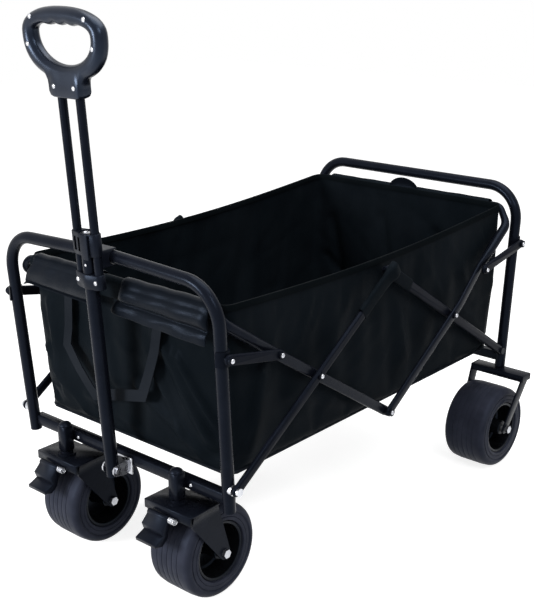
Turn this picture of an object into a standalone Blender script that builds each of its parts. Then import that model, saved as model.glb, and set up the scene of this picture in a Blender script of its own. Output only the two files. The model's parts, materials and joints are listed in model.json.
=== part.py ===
"""Folding beach cart with a cloth bag, wide wheels, swivel casters and a telescopic pull handle.

Run in Blender 4.5: blender --background --python part.py
Units are metres, +Z is up, +X is the cart's left-to-right axis and the handle is at the -Y end.
"""
import math

import bmesh
import bpy
from mathutils import Matrix, Vector

# Whole cart: the row of named sizes that everything below is worked out from
MID_Y = 0.0282            # the plane midway between the end frames, seen from the cart's origin
SEAT = 0.0003             # gap left between two pieces that touch
RUN = 0.0004              # radial clearance of a pin in its hole
PAST = 0.05               # how far a cutter runs past the piece that it cuts
SHY = 0.0001              # a joined plate stops this far short of its neighbour's face

# End frames: two leaning inverted-U tubes
TUBE_R = 0.011
TUBE_SIDES = 3            # bevel resolution of the large tubes
PIN_SIDES = 8             # facets round a shank or its hole
HEAD_SIDES = 10           # facets round a bolt head
ROUND_SIDES = 16          # facets round the handle's rods, a swivel and their bores
CORNER_R = 0.060
TOP_BAR_Z = 0.599
TOP_HALF_X = 0.265
TOP_HALF_Y = 0.457
FOOT_Z = 0.2058
FOOT_HALF_X = 0.257
FOOT_HALF_Y = 0.4327
FRONT_ARCH = 0.010        # rise of the front top bar at its middle
ARCH_R = 0.30

# Cross tubes between the feet
CROSS_SIDE = 0.020
CROSS_EDGE = 0.002
FRONT_CROSS_Z = 0.2255
FRONT_CROSS_IN = 0.0083   # the front cross tube lies this far behind the legs' axes
REAR_CROSS_Z = 0.2300

# Scissor bars: flat oval tubes in an outer and an inner plane on each side
BAR_W = 0.019
BAR_T = 0.009
BAR_EDGE = 0.003
BAR_STANDOFF = 0.0031     # washer between a leg and the outer bar
BAR_GAP = 0.0015          # between the outer and the inner bar
PIVOT_Z = 0.250
REAR_PIVOT_BACK = 0.022   # the rear pivot sits this far in front of its leg
CROSSING_Z = 0.389
LINK_REACH = 0.128        # from a crossing to the link joint beyond it
PIN_R = 0.0040
HEAD_R = 0.0075
HEAD_T = 0.0035
NUT_R = 0.0068
NUT_T = 0.0040
FLOOR_ROD_R = 0.0055

# Rim rods: round bent continuation of two of the bars
RIM_R = 0.0075
RIM_BEND = 0.022
RIM_IN = 0.030            # the rim rods' corners lie this far inside the inner bars
FRONT_RIM_OFF = 0.0201    # and this far from the legs' axes, towards the cart's middle
FRONT_RIM_Z = 0.552
FRONT_KNEE_IN = 0.002
FRONT_KNEE_OFF = 0.0397
FRONT_KNEE_Z = 0.5125
REAR_RIM_OFF = 0.0227
REAR_RIM_Z = 0.562
REAR_KNEE_IN = 0.004
REAR_KNEE_OFF = 0.0447
REAR_KNEE_Z = 0.530
REAR_CRANK = 0.030        # where the rear bar starts to lean inwards, past its crossing

# Short links from the legs to the bars
LINK_Z = 0.484
LINK_T = 0.007
LINK_W = 0.018
LINK_CLEAR = 0.003        # least room between an inner bar and a link
SADDLE_H = 0.026
SADDLE_T = 0.003
SADDLE_FACE = 0.0025      # the saddle's flat face, from the tube

# Wheels
WHEEL_R = 0.089
WHEEL_W = 0.096
RIM_SEAT_R = 0.055
DISH_R = 0.049
WEB_HALF = 0.005
DISH_DRAFT = 0.003        # draft of the moulded hub walls
BOSS_R = 0.015
BOSS_HALF = 0.046
AXLE_R = 0.005
AXLE_HEAD_R = 0.0085
AXLE_HEAD_T = 0.006
GROOVE_COUNT = 3
GROOVE_W = 0.006
GROOVE_DEPTH = 0.003
TREAD_HALF = 0.032
SHOULDER = 0.012          # how far the shoulders round off
BEAD_INSET = 0.004        # the hub's rim lies this far inside the tyre's side
WHEEL_STEPS = 22
FRONT_WHEEL_X = 0.148
CASTER_TRAIL = 0.057      # the front axle lies this far behind the swivel axis
REAR_WHEEL_IN = 0.003     # the rear wheels' middles lie this far inside the feet
REAR_TRAIL = 0.048

# Swivel casters
POST_SIDE = 0.022
POST_GAP = 0.0004         # weld gap between the post and the cross tube
POST_TOP_Z = 0.2480
CAP_H = 0.0075
CAP_OVERHANG = 0.001
PLATE_TOP_Z = 0.190
PLATE_T = 0.004
PLATE_FRONT = 0.026       # plate edge in front of the swivel axis
PLATE_BACK = 0.046
PLATE_LIP = 0.017
PLATE_EDGE = 0.001
CHEEK_TOP_IN = 0.010      # the cheeks start this far behind the plate's front edge
CHEEK_NECK_IN = 0.006
CHEEK_NECK_DROP = 0.022
CHEEK_BACK_IN = 0.004
CHEEK_BACK_DROP = 0.016
FORK_HALF = 0.052         # inside half width of a caster fork
FORK_T = 0.004
EYE_R = 0.0125
SWIVEL_RACE_R = 0.017
SWIVEL_COLLAR_R = 0.012
SWIVEL_STEM_R = 0.006
SWIVEL_STEM_H = 0.035
SWIVEL_GAP = 0.0005

# Brake pedals
PEDAL_W = 0.050
PEDAL_SIDE = -0.014       # pedal centre, to the left of the caster's middle
PEDAL_HINGE_Z = 0.1745
PEDAL_EYE_R = 0.0055
PEDAL_REACH = 0.034
PEDAL_DROP = 0.050
PEDAL_EDGE = 0.0015
# The pedal's side view below its eye, as shares of its reach forwards and of its drop
PEDAL_PROFILE = (
    (0.55, 0.30), (0.42, 0.55), (1.0, 0.72), (0.96, 0.84), (0.49, 0.91), (0.10, 0.70), (-0.06, 0.30)
)

# Fixed rear forks
REAR_FORK_IN = 0.0515
REAR_FORK_SPREAD = 0.018  # extra outward lean of the outer arm at its top
REAR_BRIDGE_H = 0.015
REAR_BRIDGE_D = 0.026
REAR_BRIDGE_IN = 0.0037   # the bridge's middle lies this far in front of the feet
REAR_ARM_IN = 0.002       # the arms are this much slimmer than the bridge at each edge
REAR_EYE_R = 0.0112
REAR_AXLE_PROUD = 0.003   # the rear axle's outer head clears the leaning arm

# Telescopic handle
HINGE_OUT = 0.0274        # the hinge pin lies this far in front of the cross tube
HINGE_Z = 0.2130
HANDLE_STANDOFF = 0.0309  # the handle passes the top bar's axis at this distance
STEM_R = 0.012
STEM_BOTTOM = -0.013      # along the handle from the hinge pin
STEM_SHY = 0.004          # the tube ends this far below the guide's top
ROD_R = 0.0075
ROD_X = 0.0220
ROD_TOP = 0.690
YOKE_EAR_T = 0.003
YOKE_GAP = 0.0008
YOKE_R = 0.014
YOKE_FLANGE = 0.012       # back plate past each ear
YOKE_EYE_R = 0.0112
YOKE_ROOT_R = 0.0133
YOKE_ROOT_IN = 0.0077
GUIDE_RISE = 0.0052       # the guide starts this far above the top bar's axis
GUIDE_H = 0.039
SLIDER_GAP = 0.032        # between the guide and the slider
SLIDER_H = 0.026
SLEEVE_WALL = 0.0025      # wall of the guide and the slider round the tube and the rods
SLEEVE_EDGE = 0.001
CLIP_JAW = 0.004
CLIP_REACH = 0.004        # jaws reach this far past the top bar's axis
CLIP_ROOT = 0.0165        # and root this far in front of the bar's face
CLIP_HALF_X = 0.030
CLIP_EDGE = 0.0013
CLIP_PLAY = 0.0018        # room in the clip for the top bar's arch
ROD_SEAT = 0.004          # the slider's floor under the rods

# D-shaped grip of round section, measured from the hinge pin along the handle
GRIP_LOW = 0.660
GRIP_EYE = 0.758          # height of its widest place
GRIP_HIGH = 0.8015
GRIP_DROP = 0.0705        # of the cheeks' ellipse below the eye
GRIP_COLLAR = 0.020       # height of the straight collar at the grip's foot
GRIP_BASE_HALF = 0.0365
GRIP_HALF_X = 0.096
GRIP_HALF_T = 0.0135
GRIP_ROUND = 0.006        # chamfer that stands for the round section
GRIP_CORNER = 0.008
GRIP_SQUARENESS = 0.85    # 1 is an ellipse, less is squarer
GRIP_CHEEK_START = -66.0
GRIP_CHEEK_END = 85.0
HOLE_LOW = 0.712
HOLE_EYE = 0.757
HOLE_HIGH = 0.775
HOLE_HALF_X = 0.0695
HOLE_SQUARENESS = 0.6
HOLE_END = 84.0           # the hole's outline runs between these angles below and above its eye
FINGER_PITCH = 0.027
FINGER_SPAN = 0.0405      # the finger bumps end this far from the middle
FINGER_WAVE = 0.0022

# Cloth bag
BAG_WALL = 0.004
BAG_CLEAR = 0.0235        # the side walls' tops lie this far inside the inner bars' middles
BAG_SIDE_LEAN = 0.0065    # and lean in by this much at the floor
BAG_INSET = 0.016         # the end walls hang this far inside their rim rods
BAG_ABOVE_RIM = 0.003     # and stand this far above the rods' axes
BAG_SAG = 0.014           # dip of the side walls' top edge at the middle
FRONT_FOOT_OFF = 0.0298   # the end walls' feet lie this far inside the legs' axes
REAR_FOOT_OFF = 0.0318
FLOOR_T = 0.006
HEM_T = 0.003             # cloth doubled over the rim rods
HEM_ROOT = 0.012          # height of the hem's seam on the wall
FRONT_FLAP = 0.062        # drop of the front hem flaps below the rod's axis
REAR_FLAP = 0.026
FLAP_GAP = 0.034          # half of the gap between the front flaps, for the handle
FLAP_END = 0.033          # the hems end this far inside the rim rods' corners

# Worked-out sizes
SIDES = {"left": -1.0, "right": 1.0}


def frame_share(z):
    """How far down a leg the height z lies, from 0 at the top bar to 1 at the foot."""
    return (TOP_BAR_Z - z) / (TOP_BAR_Z - FOOT_Z)


def leg_x(z):
    """Half distance between the two legs of an end frame at height z."""
    return TOP_HALF_X + (FOOT_HALF_X - TOP_HALF_X) * frame_share(z)


def leg_y(z):
    """Distance of an end frame's legs from the cart's middle plane at height z."""
    return TOP_HALF_Y + (FOOT_HALF_Y - TOP_HALF_Y) * frame_share(z)


def rim_point(inset, off, z):
    """A bend of a rim rod: half width, distance from the middle plane and height."""
    return (INNER_X - inset, leg_y(z) - off, z)


LEG_TILT = math.hypot(TOP_HALF_X - FOOT_HALF_X, TOP_HALF_Y - FOOT_HALF_Y) / (TOP_BAR_Z - FOOT_Z)
OUTER_X = leg_x(PIVOT_Z) + TUBE_R + BAR_STANDOFF + BAR_T / 2
INNER_X = OUTER_X - BAR_T - BAR_GAP
LINK_FACE = max(leg_x(LINK_Z) + TUBE_R + SADDLE_FACE, INNER_X + BAR_T / 2 + LINK_CLEAR)
LINK_X = LINK_FACE + SEAT + LINK_T / 2
FRONT_RIM = rim_point(RIM_IN, FRONT_RIM_OFF, FRONT_RIM_Z)
FRONT_KNEE = rim_point(FRONT_KNEE_IN, FRONT_KNEE_OFF, FRONT_KNEE_Z)
REAR_RIM = rim_point(RIM_IN, REAR_RIM_OFF, REAR_RIM_Z)
REAR_KNEE = rim_point(REAR_KNEE_IN, REAR_KNEE_OFF, REAR_KNEE_Z)
FRONT_CROSS_Y = leg_y(FRONT_CROSS_Z) - FRONT_CROSS_IN
REAR_CROSS_Y = leg_y(REAR_CROSS_Z)
FRONT_PIVOT_Y = -leg_y(PIVOT_Z)
REAR_PIVOT_Y = leg_y(PIVOT_Z) - REAR_PIVOT_BACK
SCISSOR_Y = (FRONT_PIVOT_Y + REAR_PIVOT_Y) / 2
HALF_SPAN = (REAR_PIVOT_Y - FRONT_PIVOT_Y) / 4
BAR_RISE = CROSSING_Z - PIVOT_Z
BAR_ANGLE = math.atan2(BAR_RISE, HALF_SPAN)
TOP_MID_Z = PIVOT_Z + 2 * BAR_RISE
FRONT_CROSSING_Y = SCISSOR_Y - HALF_SPAN
REAR_CROSSING_Y = SCISSOR_Y + HALF_SPAN
LINK_DY = LINK_REACH * math.cos(BAR_ANGLE)
LINK_JOINT_Z = CROSSING_Z + LINK_REACH * math.sin(BAR_ANGLE)
POST_Y = FRONT_CROSS_Y + (CROSS_SIDE + POST_SIDE) / 2 + POST_GAP
FRONT_AXLE_Y = POST_Y - CASTER_TRAIL
REAR_BRIDGE_Y = FOOT_HALF_Y - REAR_BRIDGE_IN
REAR_AXLE_Y = REAR_BRIDGE_Y - REAR_TRAIL
REAR_WHEEL_X = FOOT_HALF_X - REAR_WHEEL_IN
HINGE_Y = FRONT_CROSS_Y + CROSS_SIDE / 2 + HINGE_OUT
FRONT_BAR_Z = TOP_BAR_Z + FRONT_ARCH
HANDLE_LEAN = math.atan2(TOP_HALF_Y + HANDLE_STANDOFF - HINGE_Y, FRONT_BAR_Z - HINGE_Z)
GUIDE_LOW = (FRONT_BAR_Z - HINGE_Z) / math.cos(HANDLE_LEAN) + GUIDE_RISE
GUIDE_HIGH = GUIDE_LOW + GUIDE_H
STEM_TOP = GUIDE_HIGH - STEM_SHY
SLIDER_HIGH = GUIDE_LOW - SLIDER_GAP
SLIDER_LOW = SLIDER_HIGH - SLIDER_H
HANDLE_UP = Vector((0.0, -math.sin(HANDLE_LEAN), math.cos(HANDLE_LEAN)))
FORK_AXLE_HALF = FORK_HALF + FORK_T + SEAT
REAR_ARM_X = REAR_FORK_IN + FORK_T
AXLE_Z = WHEEL_R * math.cos(math.pi / WHEEL_STEPS)    # the facets, not their corners, meet the ground
PEDAL_HINGE_Y = PLATE_FRONT + PEDAL_EYE_R + SEAT      # in front of the swivel axis
BAG_FLOOR_Z = PIVOT_Z + FLOOR_ROD_R + SEAT
BAG_HALF_X = INNER_X - BAG_CLEAR
BAG_FLOOR_HALF_X = BAG_HALF_X - BAG_SIDE_LEAN
BAG_FRONT_Y = FRONT_RIM[1] - BAG_INSET
BAG_REAR_Y = REAR_RIM[1] - BAG_INSET
BAG_FRONT_FOOT = leg_y(BAG_FLOOR_Z) - FRONT_FOOT_OFF
BAG_REAR_FOOT = leg_y(BAG_FLOOR_Z) - REAR_FOOT_OFF
BAG_FRONT_Z = FRONT_RIM[2] + BAG_ABOVE_RIM
BAG_REAR_Z = REAR_RIM[2] + BAG_ABOVE_RIM

for old in list(bpy.data.objects):
    bpy.data.objects.remove(old, do_unlink=True)

PARTS = bpy.data.collections.new("beach_cart")
CUTTERS = bpy.data.collections.new("cutters")
for group in (PARTS, CUTTERS):
    bpy.context.scene.collection.children.link(group)

CART = bpy.data.objects.new("cart_middle", None)
CART.location = (0.0, MID_Y, 0.0)
PARTS.objects.link(CART)


def material(name, colour, roughness, metallic=0.0):
    """One plain Principled material."""
    made = bpy.data.materials.new(name)
    made.use_nodes = True
    shader = made.node_tree.nodes["Principled BSDF"]
    shader.inputs["Base Color"].default_value = (*colour, 1.0)
    shader.inputs["Roughness"].default_value = roughness
    shader.inputs["Metallic"].default_value = metallic
    return made


BLACK_PAINT = material("black_paint", (0.012, 0.012, 0.014), 0.28)
BLACK_PLASTIC = material("black_plastic", (0.014, 0.014, 0.015), 0.45)
RUBBER = material("rubber", (0.018, 0.018, 0.020), 0.62)
HUB_PLASTIC = material("hub_plastic", (0.008, 0.008, 0.009), 0.5)
STEEL = material("zinc_steel", (0.75, 0.75, 0.77), 0.25, 1.0)
CLOTH = material("bag_cloth", (0.010, 0.010, 0.012), 0.85)


def smooth(mesh):
    """Shade a mesh smooth, with its hard edges kept sharp."""
    mesh.shade_smooth()
    mesh.set_sharp_from_angle(angle=math.radians(35))


def add(name, mesh, look, pivot=(0.0, 0.0, 0.0)):
    """Put a mesh that is built in cart coordinates into the model, with its origin on pivot."""
    pivot = Vector(pivot)
    mesh.transform(Matrix.Translation(-pivot))
    smooth(mesh)
    mesh.materials.clear()
    mesh.materials.append(look)
    made = bpy.data.objects.new(name, mesh)
    made.parent = CART
    made.location = pivot
    PARTS.objects.link(made)
    return made


def tool(name, mesh):
    """A hidden helper body for a Boolean modifier."""
    made = bpy.data.objects.new(name, mesh)
    made.parent = CART
    made.hide_render = True
    made.display_type = "WIRE"
    CUTTERS.objects.link(made)
    return made


def combine(target, mesh, operation):
    """Join a helper body to a piece, or cut it away."""
    step = target.modifiers.new(operation.lower(), "BOOLEAN")
    step.operation = operation
    step.solver = "EXACT"
    step.object = tool(f"{target.name}.{operation.lower()}{len(target.modifiers)}", mesh)
    return target


def join(target, *meshes):
    for mesh in meshes:
        combine(target, mesh, "UNION")
    return target


def cut(target, *meshes):
    for mesh in meshes:
        combine(target, mesh, "DIFFERENCE")
    return target


def curve_to_mesh(curve):
    """The welded mesh of a curve, so that it can be cut or joined."""
    holder = bpy.data.objects.new("curve_holder", curve)
    bpy.context.scene.collection.objects.link(holder)
    graph = bpy.context.evaluated_depsgraph_get()
    mesh = bpy.data.meshes.new_from_object(holder.evaluated_get(graph))
    bpy.data.objects.remove(holder, do_unlink=True)
    body = bmesh.new()
    body.from_mesh(mesh)
    bmesh.ops.remove_doubles(body, verts=body.verts, dist=1e-6)
    bmesh.ops.recalc_face_normals(body, faces=body.faces)
    body.to_mesh(mesh)
    body.free()
    return mesh


def rounded_path(points, radii, steps=6):
    """A polyline whose inner corners are replaced by arcs of the given radii."""
    points = [Vector(p) for p in points]
    path = [points[0]]
    for before, corner, after, radius in zip(points, points[1:], points[2:], radii):
        arrive = (corner - before).normalized()
        leave = (after - corner).normalized()
        turn = arrive.angle(leave)
        if turn < 1e-4:
            path.append(corner)
            continue
        reach = radius * math.tan(turn / 2)
        centre = corner + (leave - arrive).normalized() * (radius / math.cos(turn / 2))
        start = corner - arrive * reach - centre
        axis = arrive.cross(leave).normalized()
        for step in range(steps + 1):
            path.append(centre + Matrix.Rotation(turn * step / steps, 3, axis) @ start)
    path.append(points[-1])
    return path


def tube_mesh(path, radius, resolution=TUBE_SIDES):
    """A round closed tube along a path."""
    curve = bpy.data.curves.new("tube", "CURVE")
    curve.dimensions = "3D"
    curve.bevel_depth = radius
    curve.bevel_resolution = resolution
    curve.use_fill_caps = True
    spline = curve.splines.new("POLY")
    spline.points.add(len(path) - 1)
    for point, place in zip(spline.points, path):
        point.co = (*place, 1.0)
    return curve_to_mesh(curve)


def rod_mesh(start, end, radius, segments=PIN_SIDES):
    """A plain cylinder between two points."""
    start, end = Vector(start), Vector(end)
    along = end - start
    body = bmesh.new()
    bmesh.ops.create_cone(
        body, cap_ends=True, segments=segments, radius1=radius, radius2=radius, depth=along.length
    )
    turn = Vector((0.0, 0.0, 1.0)).rotation_difference(along).to_matrix().to_4x4()
    bmesh.ops.transform(body, matrix=Matrix.Translation((start + end) / 2) @ turn, verts=body.verts)
    mesh = bpy.data.meshes.new("rod")
    body.to_mesh(mesh)
    body.free()
    return mesh


def box_mesh(low, high, edge=0.0, turn=None):
    """A box between two corners, with bevelled edges, turned about its own centre."""
    low, high = Vector(low), Vector(high)
    body = bmesh.new()
    bmesh.ops.create_cube(body, size=1.0)
    bmesh.ops.scale(body, vec=high - low, verts=body.verts)
    if edge > 0:
        bmesh.ops.bevel(
            body, geom=body.edges[:], offset=edge, segments=1, affect="EDGES", profile=0.5
        )
    place = Matrix.Translation((low + high) / 2)
    if turn is not None:
        place = place @ turn
    bmesh.ops.transform(body, matrix=place, verts=body.verts)
    mesh = bpy.data.meshes.new("box")
    body.to_mesh(mesh)
    body.free()
    return mesh


# Turns the XY plane of a flat outline into the cart's YZ plane, thickness along X
TO_SIDE = Matrix(((0.0, 0.0, 1.0, 0.0), (1.0, 0.0, 0.0, 0.0), (0.0, 1.0, 0.0, 0.0), (0.0, 0.0, 0.0, 1.0)))


def plate_mesh(outlines, thickness, place, edge=0.0):
    """A flat plate from closed outlines in its own XY plane; inner outlines are holes."""
    curve = bpy.data.curves.new("plate", "CURVE")
    curve.dimensions = "2D"
    curve.fill_mode = "BOTH"
    curve.extrude = thickness / 2 - edge
    curve.bevel_depth = edge
    curve.bevel_resolution = 0
    for outline in outlines:
        spline = curve.splines.new("POLY")
        spline.points.add(len(outline) - 1)
        spline.use_cyclic_u = True
        for point, (u, v) in zip(spline.points, outline):
            point.co = (u, v, 0.0, 1.0)
    if edge > 0:
        curve.offset = -edge
    mesh = curve_to_mesh(curve)
    mesh.transform(place)
    return mesh


def arc(centre, radius, start, end, steps):
    """Points of an arc, angles in degrees."""
    points = []
    for step in range(steps + 1):
        angle = math.radians(start + (end - start) * step / steps)
        points.append((centre[0] + radius * math.cos(angle), centre[1] + radius * math.sin(angle)))
    return points


def tapered_outline(a, radius_a, b, radius_b, steps=5):
    """The outline round two circles of unlike size: an oval bar, a link or a fork arm."""
    gap = math.dist(a, b)
    heading = math.degrees(math.atan2(b[1] - a[1], b[0] - a[0]))
    spread = math.degrees(math.acos((radius_a - radius_b) / gap))
    return arc(a, radius_a, heading + spread, heading + 360 - spread, steps) + arc(
        b, radius_b, heading - spread, heading + spread, steps
    )


def side_plate(outlines, x, thickness, edge=0.0):
    """A flat plate that stands in a YZ plane, centred on x."""
    return plate_mesh(outlines, thickness, Matrix.Translation((x, 0.0, 0.0)) @ TO_SIDE, edge)


def bar_mesh(start, end, x, width=BAR_W, thickness=BAR_T):
    """A flat oval bar between two points of a YZ plane."""
    half = width / 2
    return side_plate([tapered_outline(start, half, end, half)], x, thickness, BAR_EDGE)


def x_rod(x0, x1, y, z, radius, segments=PIN_SIDES):
    """A cylinder along X."""
    return rod_mesh((x0, y, z), (x1, y, z), radius, segments)


def turned_mesh(profile, place):
    """A turned body from a closed profile of (radius, height) points, turned about Z."""
    mesh = bpy.data.meshes.new("profile")
    edges = [(i, (i + 1) % len(profile)) for i in range(len(profile))]
    mesh.from_pydata([(r, 0.0, h) for r, h in profile], edges, [])
    holder = bpy.data.objects.new("profile_holder", mesh)
    bpy.context.scene.collection.objects.link(holder)
    screw = holder.modifiers.new("turn", "SCREW")
    screw.steps = WHEEL_STEPS
    screw.render_steps = WHEEL_STEPS
    screw.use_merge_vertices = True
    screw.merge_threshold = 1e-5
    graph = bpy.context.evaluated_depsgraph_get()
    made = bpy.data.meshes.new_from_object(holder.evaluated_get(graph))
    bpy.data.objects.remove(holder, do_unlink=True)
    body = bmesh.new()
    body.from_mesh(made)
    bmesh.ops.recalc_face_normals(body, faces=body.faces)
    body.to_mesh(made)
    body.free()
    half_step = Matrix.Rotation(math.pi / WHEEL_STEPS, 4, "Z")
    made.transform(place @ half_step)
    return made


# End frames

def end_frame(name, facing, arch):
    """One inverted-U tube; facing is -1 for the front and 1 for the rear."""
    foot = (leg_x(FOOT_Z), facing * leg_y(FOOT_Z), FOOT_Z)
    corner = (TOP_HALF_X, facing * TOP_HALF_Y, TOP_BAR_Z)
    points = [foot, corner]
    radii = [CORNER_R]
    if arch > 0:
        points.append((0.0, facing * TOP_HALF_Y, TOP_BAR_Z + arch))
        radii.append(ARCH_R)
    points += [(-corner[0], *corner[1:]), (-foot[0], *foot[1:])]
    radii.append(CORNER_R)
    return add(name, tube_mesh(rounded_path(points, radii), TUBE_R), BLACK_PAINT)


def leg_clearance(side, facing):
    """The straight part of a leg, larger by the seat gap, to cope what is welded to it."""
    low = Vector((side * leg_x(FOOT_Z - TUBE_R), facing * leg_y(FOOT_Z - TUBE_R), FOOT_Z - TUBE_R))
    top = TOP_BAR_Z - CORNER_R
    high = Vector((side * leg_x(top), facing * leg_y(top), top))
    return rod_mesh(low, high, TUBE_R + SEAT, ROUND_SIDES)


def cross_tube(name, facing, y, z):
    """The square tube between the feet of one end frame, with coped ends."""
    half = CROSS_SIDE / 2
    reach = leg_x(z)
    low = (-reach, facing * y - half, z - half)
    high = (reach, facing * y + half, z + half)
    made = add(name, box_mesh(low, high, CROSS_EDGE), BLACK_PAINT)
    return cut(made, leg_clearance(1.0, facing), leg_clearance(-1.0, facing))


end_frame("front_frame", -1.0, FRONT_ARCH)
end_frame("rear_frame", 1.0, 0.0)
cross_tube("front_crossbar", -1.0, FRONT_CROSS_Y, FRONT_CROSS_Z)
cross_tube("rear_crossbar", 1.0, REAR_CROSS_Y, REAR_CROSS_Z)


# Scissor bars, with a pin on each outer bar and a hole for it in the inner one

def pin_set(side, y, z):
    """Head outside the outer bar, shank through the inner bar, nut inside it."""
    face = OUTER_X + BAR_T / 2
    back = INNER_X - BAR_T / 2 - SEAT
    return [
        x_rod(side * (face - BAR_EDGE), side * (face + HEAD_T), y, z, HEAD_R, HEAD_SIDES),
        x_rod(side * OUTER_X, side * (back - NUT_T), y, z, PIN_R),
        x_rod(side * back, side * (back - NUT_T), y, z, NUT_R, 6),
    ]


def pin_hole(side, x, y, z):
    return x_rod(side * (x - BAR_T), side * (x + BAR_T), y, z, PIN_R + RUN)


FRONT_PIVOT = (FRONT_PIVOT_Y, PIVOT_Z)
REAR_PIVOT = (REAR_PIVOT_Y, PIVOT_Z)
TOP_MID = (SCISSOR_Y, TOP_MID_Z)
LOW_MID = (SCISSOR_Y, PIVOT_Z)
FRONT_CROSSING = (FRONT_CROSSING_Y, CROSSING_Z)
REAR_CROSSING = (REAR_CROSSING_Y, CROSSING_Z)
FRONT_LINK_JOINT = (FRONT_CROSSING_Y - LINK_DY, LINK_JOINT_Z)
REAR_LINK_JOINT = (REAR_CROSSING_Y + LINK_DY, LINK_JOINT_Z)


def scissor_front(label, side):
    """Outer bar from the front pivot up to the top middle joint."""
    x = side * OUTER_X
    made = add(f"scissor_front_{label}", bar_mesh(FRONT_PIVOT, TOP_MID, x), BLACK_PAINT, (x, *FRONT_PIVOT))
    join(made, *pin_set(side, *FRONT_CROSSING), *pin_set(side, *TOP_MID))
    return cut(made, pin_hole(side, OUTER_X, *FRONT_PIVOT))


def scissor_rear(label, side):
    """Inner bar from the top middle joint down to the rear pivot."""
    x = side * INNER_X
    made = add(f"scissor_rear_{label}", bar_mesh(TOP_MID, REAR_PIVOT, x), BLACK_PAINT, (x, *TOP_MID))
    return cut(made, *(pin_hole(side, INNER_X, *at) for at in (TOP_MID, REAR_CROSSING, REAR_PIVOT)))


def rim_path(start, crank, knee, rim, facing):
    """The bent round rod from one bar, round the bag's rim and down to the other bar."""
    half = [start]
    if crank is not None:
        half.append(crank)
    half.append((knee[0], facing * knee[1], knee[2]))
    half.append((rim[0], facing * rim[1], rim[2]))
    points = half + [(-x, y, z) for x, y, z in reversed(half)]
    return rounded_path(points, [RIM_BEND] * (len(points) - 2), 3)


def front_rim_loop():
    """Both inner bars with the front rim rod and the rod under the floor: one bent loop."""
    start = (INNER_X, *FRONT_LINK_JOINT)
    path = rim_path(start, None, FRONT_KNEE, FRONT_RIM, -1.0)
    made = add("front_rim_loop", tube_mesh(path, RIM_R, 2), BLACK_PAINT, (0.0, *FRONT_CROSSING))
    for side in SIDES.values():
        join(made, bar_mesh(LOW_MID, FRONT_LINK_JOINT, side * INNER_X))
    reach = INNER_X - BAR_T / 2 + BAR_EDGE
    join(made, x_rod(-reach, reach, *LOW_MID, FLOOR_ROD_R))
    pocket_end = INNER_X - BAR_T / 2 - NUT_T
    for side in SIDES.values():
        pocket = x_rod(side * pocket_end, side * (INNER_X + BAR_T), *LOW_MID, PIN_R + RUN)
        cut(made, pocket, pin_hole(side, INNER_X, *FRONT_CROSSING))
    return made


def rear_rim_loop():
    """Both outer bars with the rear rim rod: they crank inwards past the rear crossing."""
    along = Vector((0.0, math.cos(BAR_ANGLE), math.sin(BAR_ANGLE)))
    crank = Vector((OUTER_X, *REAR_CROSSING)) + along * REAR_CRANK
    path = rim_path(tuple(crank), (INNER_X, *REAR_LINK_JOINT), REAR_KNEE, REAR_RIM, 1.0)
    made = add("rear_rim_loop", tube_mesh(path, RIM_R, 2), BLACK_PAINT, (0.0, *REAR_CROSSING))
    for side in SIDES.values():
        join(made, bar_mesh(LOW_MID, tuple(crank)[1:], side * OUTER_X))
        join(made, *pin_set(side, *REAR_CROSSING))
        face = OUTER_X + BAR_T / 2
        head = x_rod(side * (face - BAR_EDGE), side * (face + HEAD_T), *LOW_MID, HEAD_R, HEAD_SIDES)
        join(made, head)
        back = INNER_X - BAR_T / 2
        join(made, x_rod(side * back, side * OUTER_X, *LOW_MID, PIN_R))
    return made


for label, side in SIDES.items():
    scissor_front(label, side)
    scissor_rear(label, side)
front_rim_loop()
rear_rim_loop()


# What carries the bars: pivots and link saddles on the legs

def front_pivot(label, side):
    """Saddle washer on the leg's outer face, with the front pivot pin through the bar."""
    x_leg = leg_x(PIVOT_Z)
    inner = OUTER_X - BAR_T / 2 - SEAT
    outer = OUTER_X + BAR_T / 2 + SEAT
    washer = x_rod(side * x_leg, side * inner, *FRONT_PIVOT, BAR_W / 2, ROUND_SIDES)
    made = add(f"front_pivot_{label}", washer, STEEL, (side * OUTER_X, *FRONT_PIVOT))
    join(
        made,
        x_rod(side * (inner - SEAT), side * (outer + HEAD_T), *FRONT_PIVOT, PIN_R),
        x_rod(side * outer, side * (outer + HEAD_T), *FRONT_PIVOT, HEAD_R, HEAD_SIDES),
    )
    return cut(made, leg_clearance(side, -1.0))


def rear_pivot(label, side):
    """Bracket in front of the rear leg, with the rear pivot pin through the inner bar."""
    inner = INNER_X - BAR_T / 2 - SEAT
    outer = INNER_X + BAR_T / 2 + SEAT
    root = leg_y(PIVOT_Z)
    half = BAR_W / 2
    plate = side_plate(
        [tapered_outline(REAR_PIVOT, half, (root, PIVOT_Z), half)], side * (inner - NUT_T), 2 * NUT_T
    )
    made = add(f"rear_pivot_{label}", plate, BLACK_PAINT, (side * INNER_X, *REAR_PIVOT))
    join(
        made,
        x_rod(side * (inner - NUT_T), side * (outer + HEAD_T), *REAR_PIVOT, PIN_R),
        x_rod(side * outer, side * (outer + HEAD_T), *REAR_PIVOT, HEAD_R, HEAD_SIDES),
    )
    return cut(made, leg_clearance(side, 1.0))


def link_pivot(facing):
    return (facing * leg_y(LINK_Z), LINK_Z)


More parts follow.
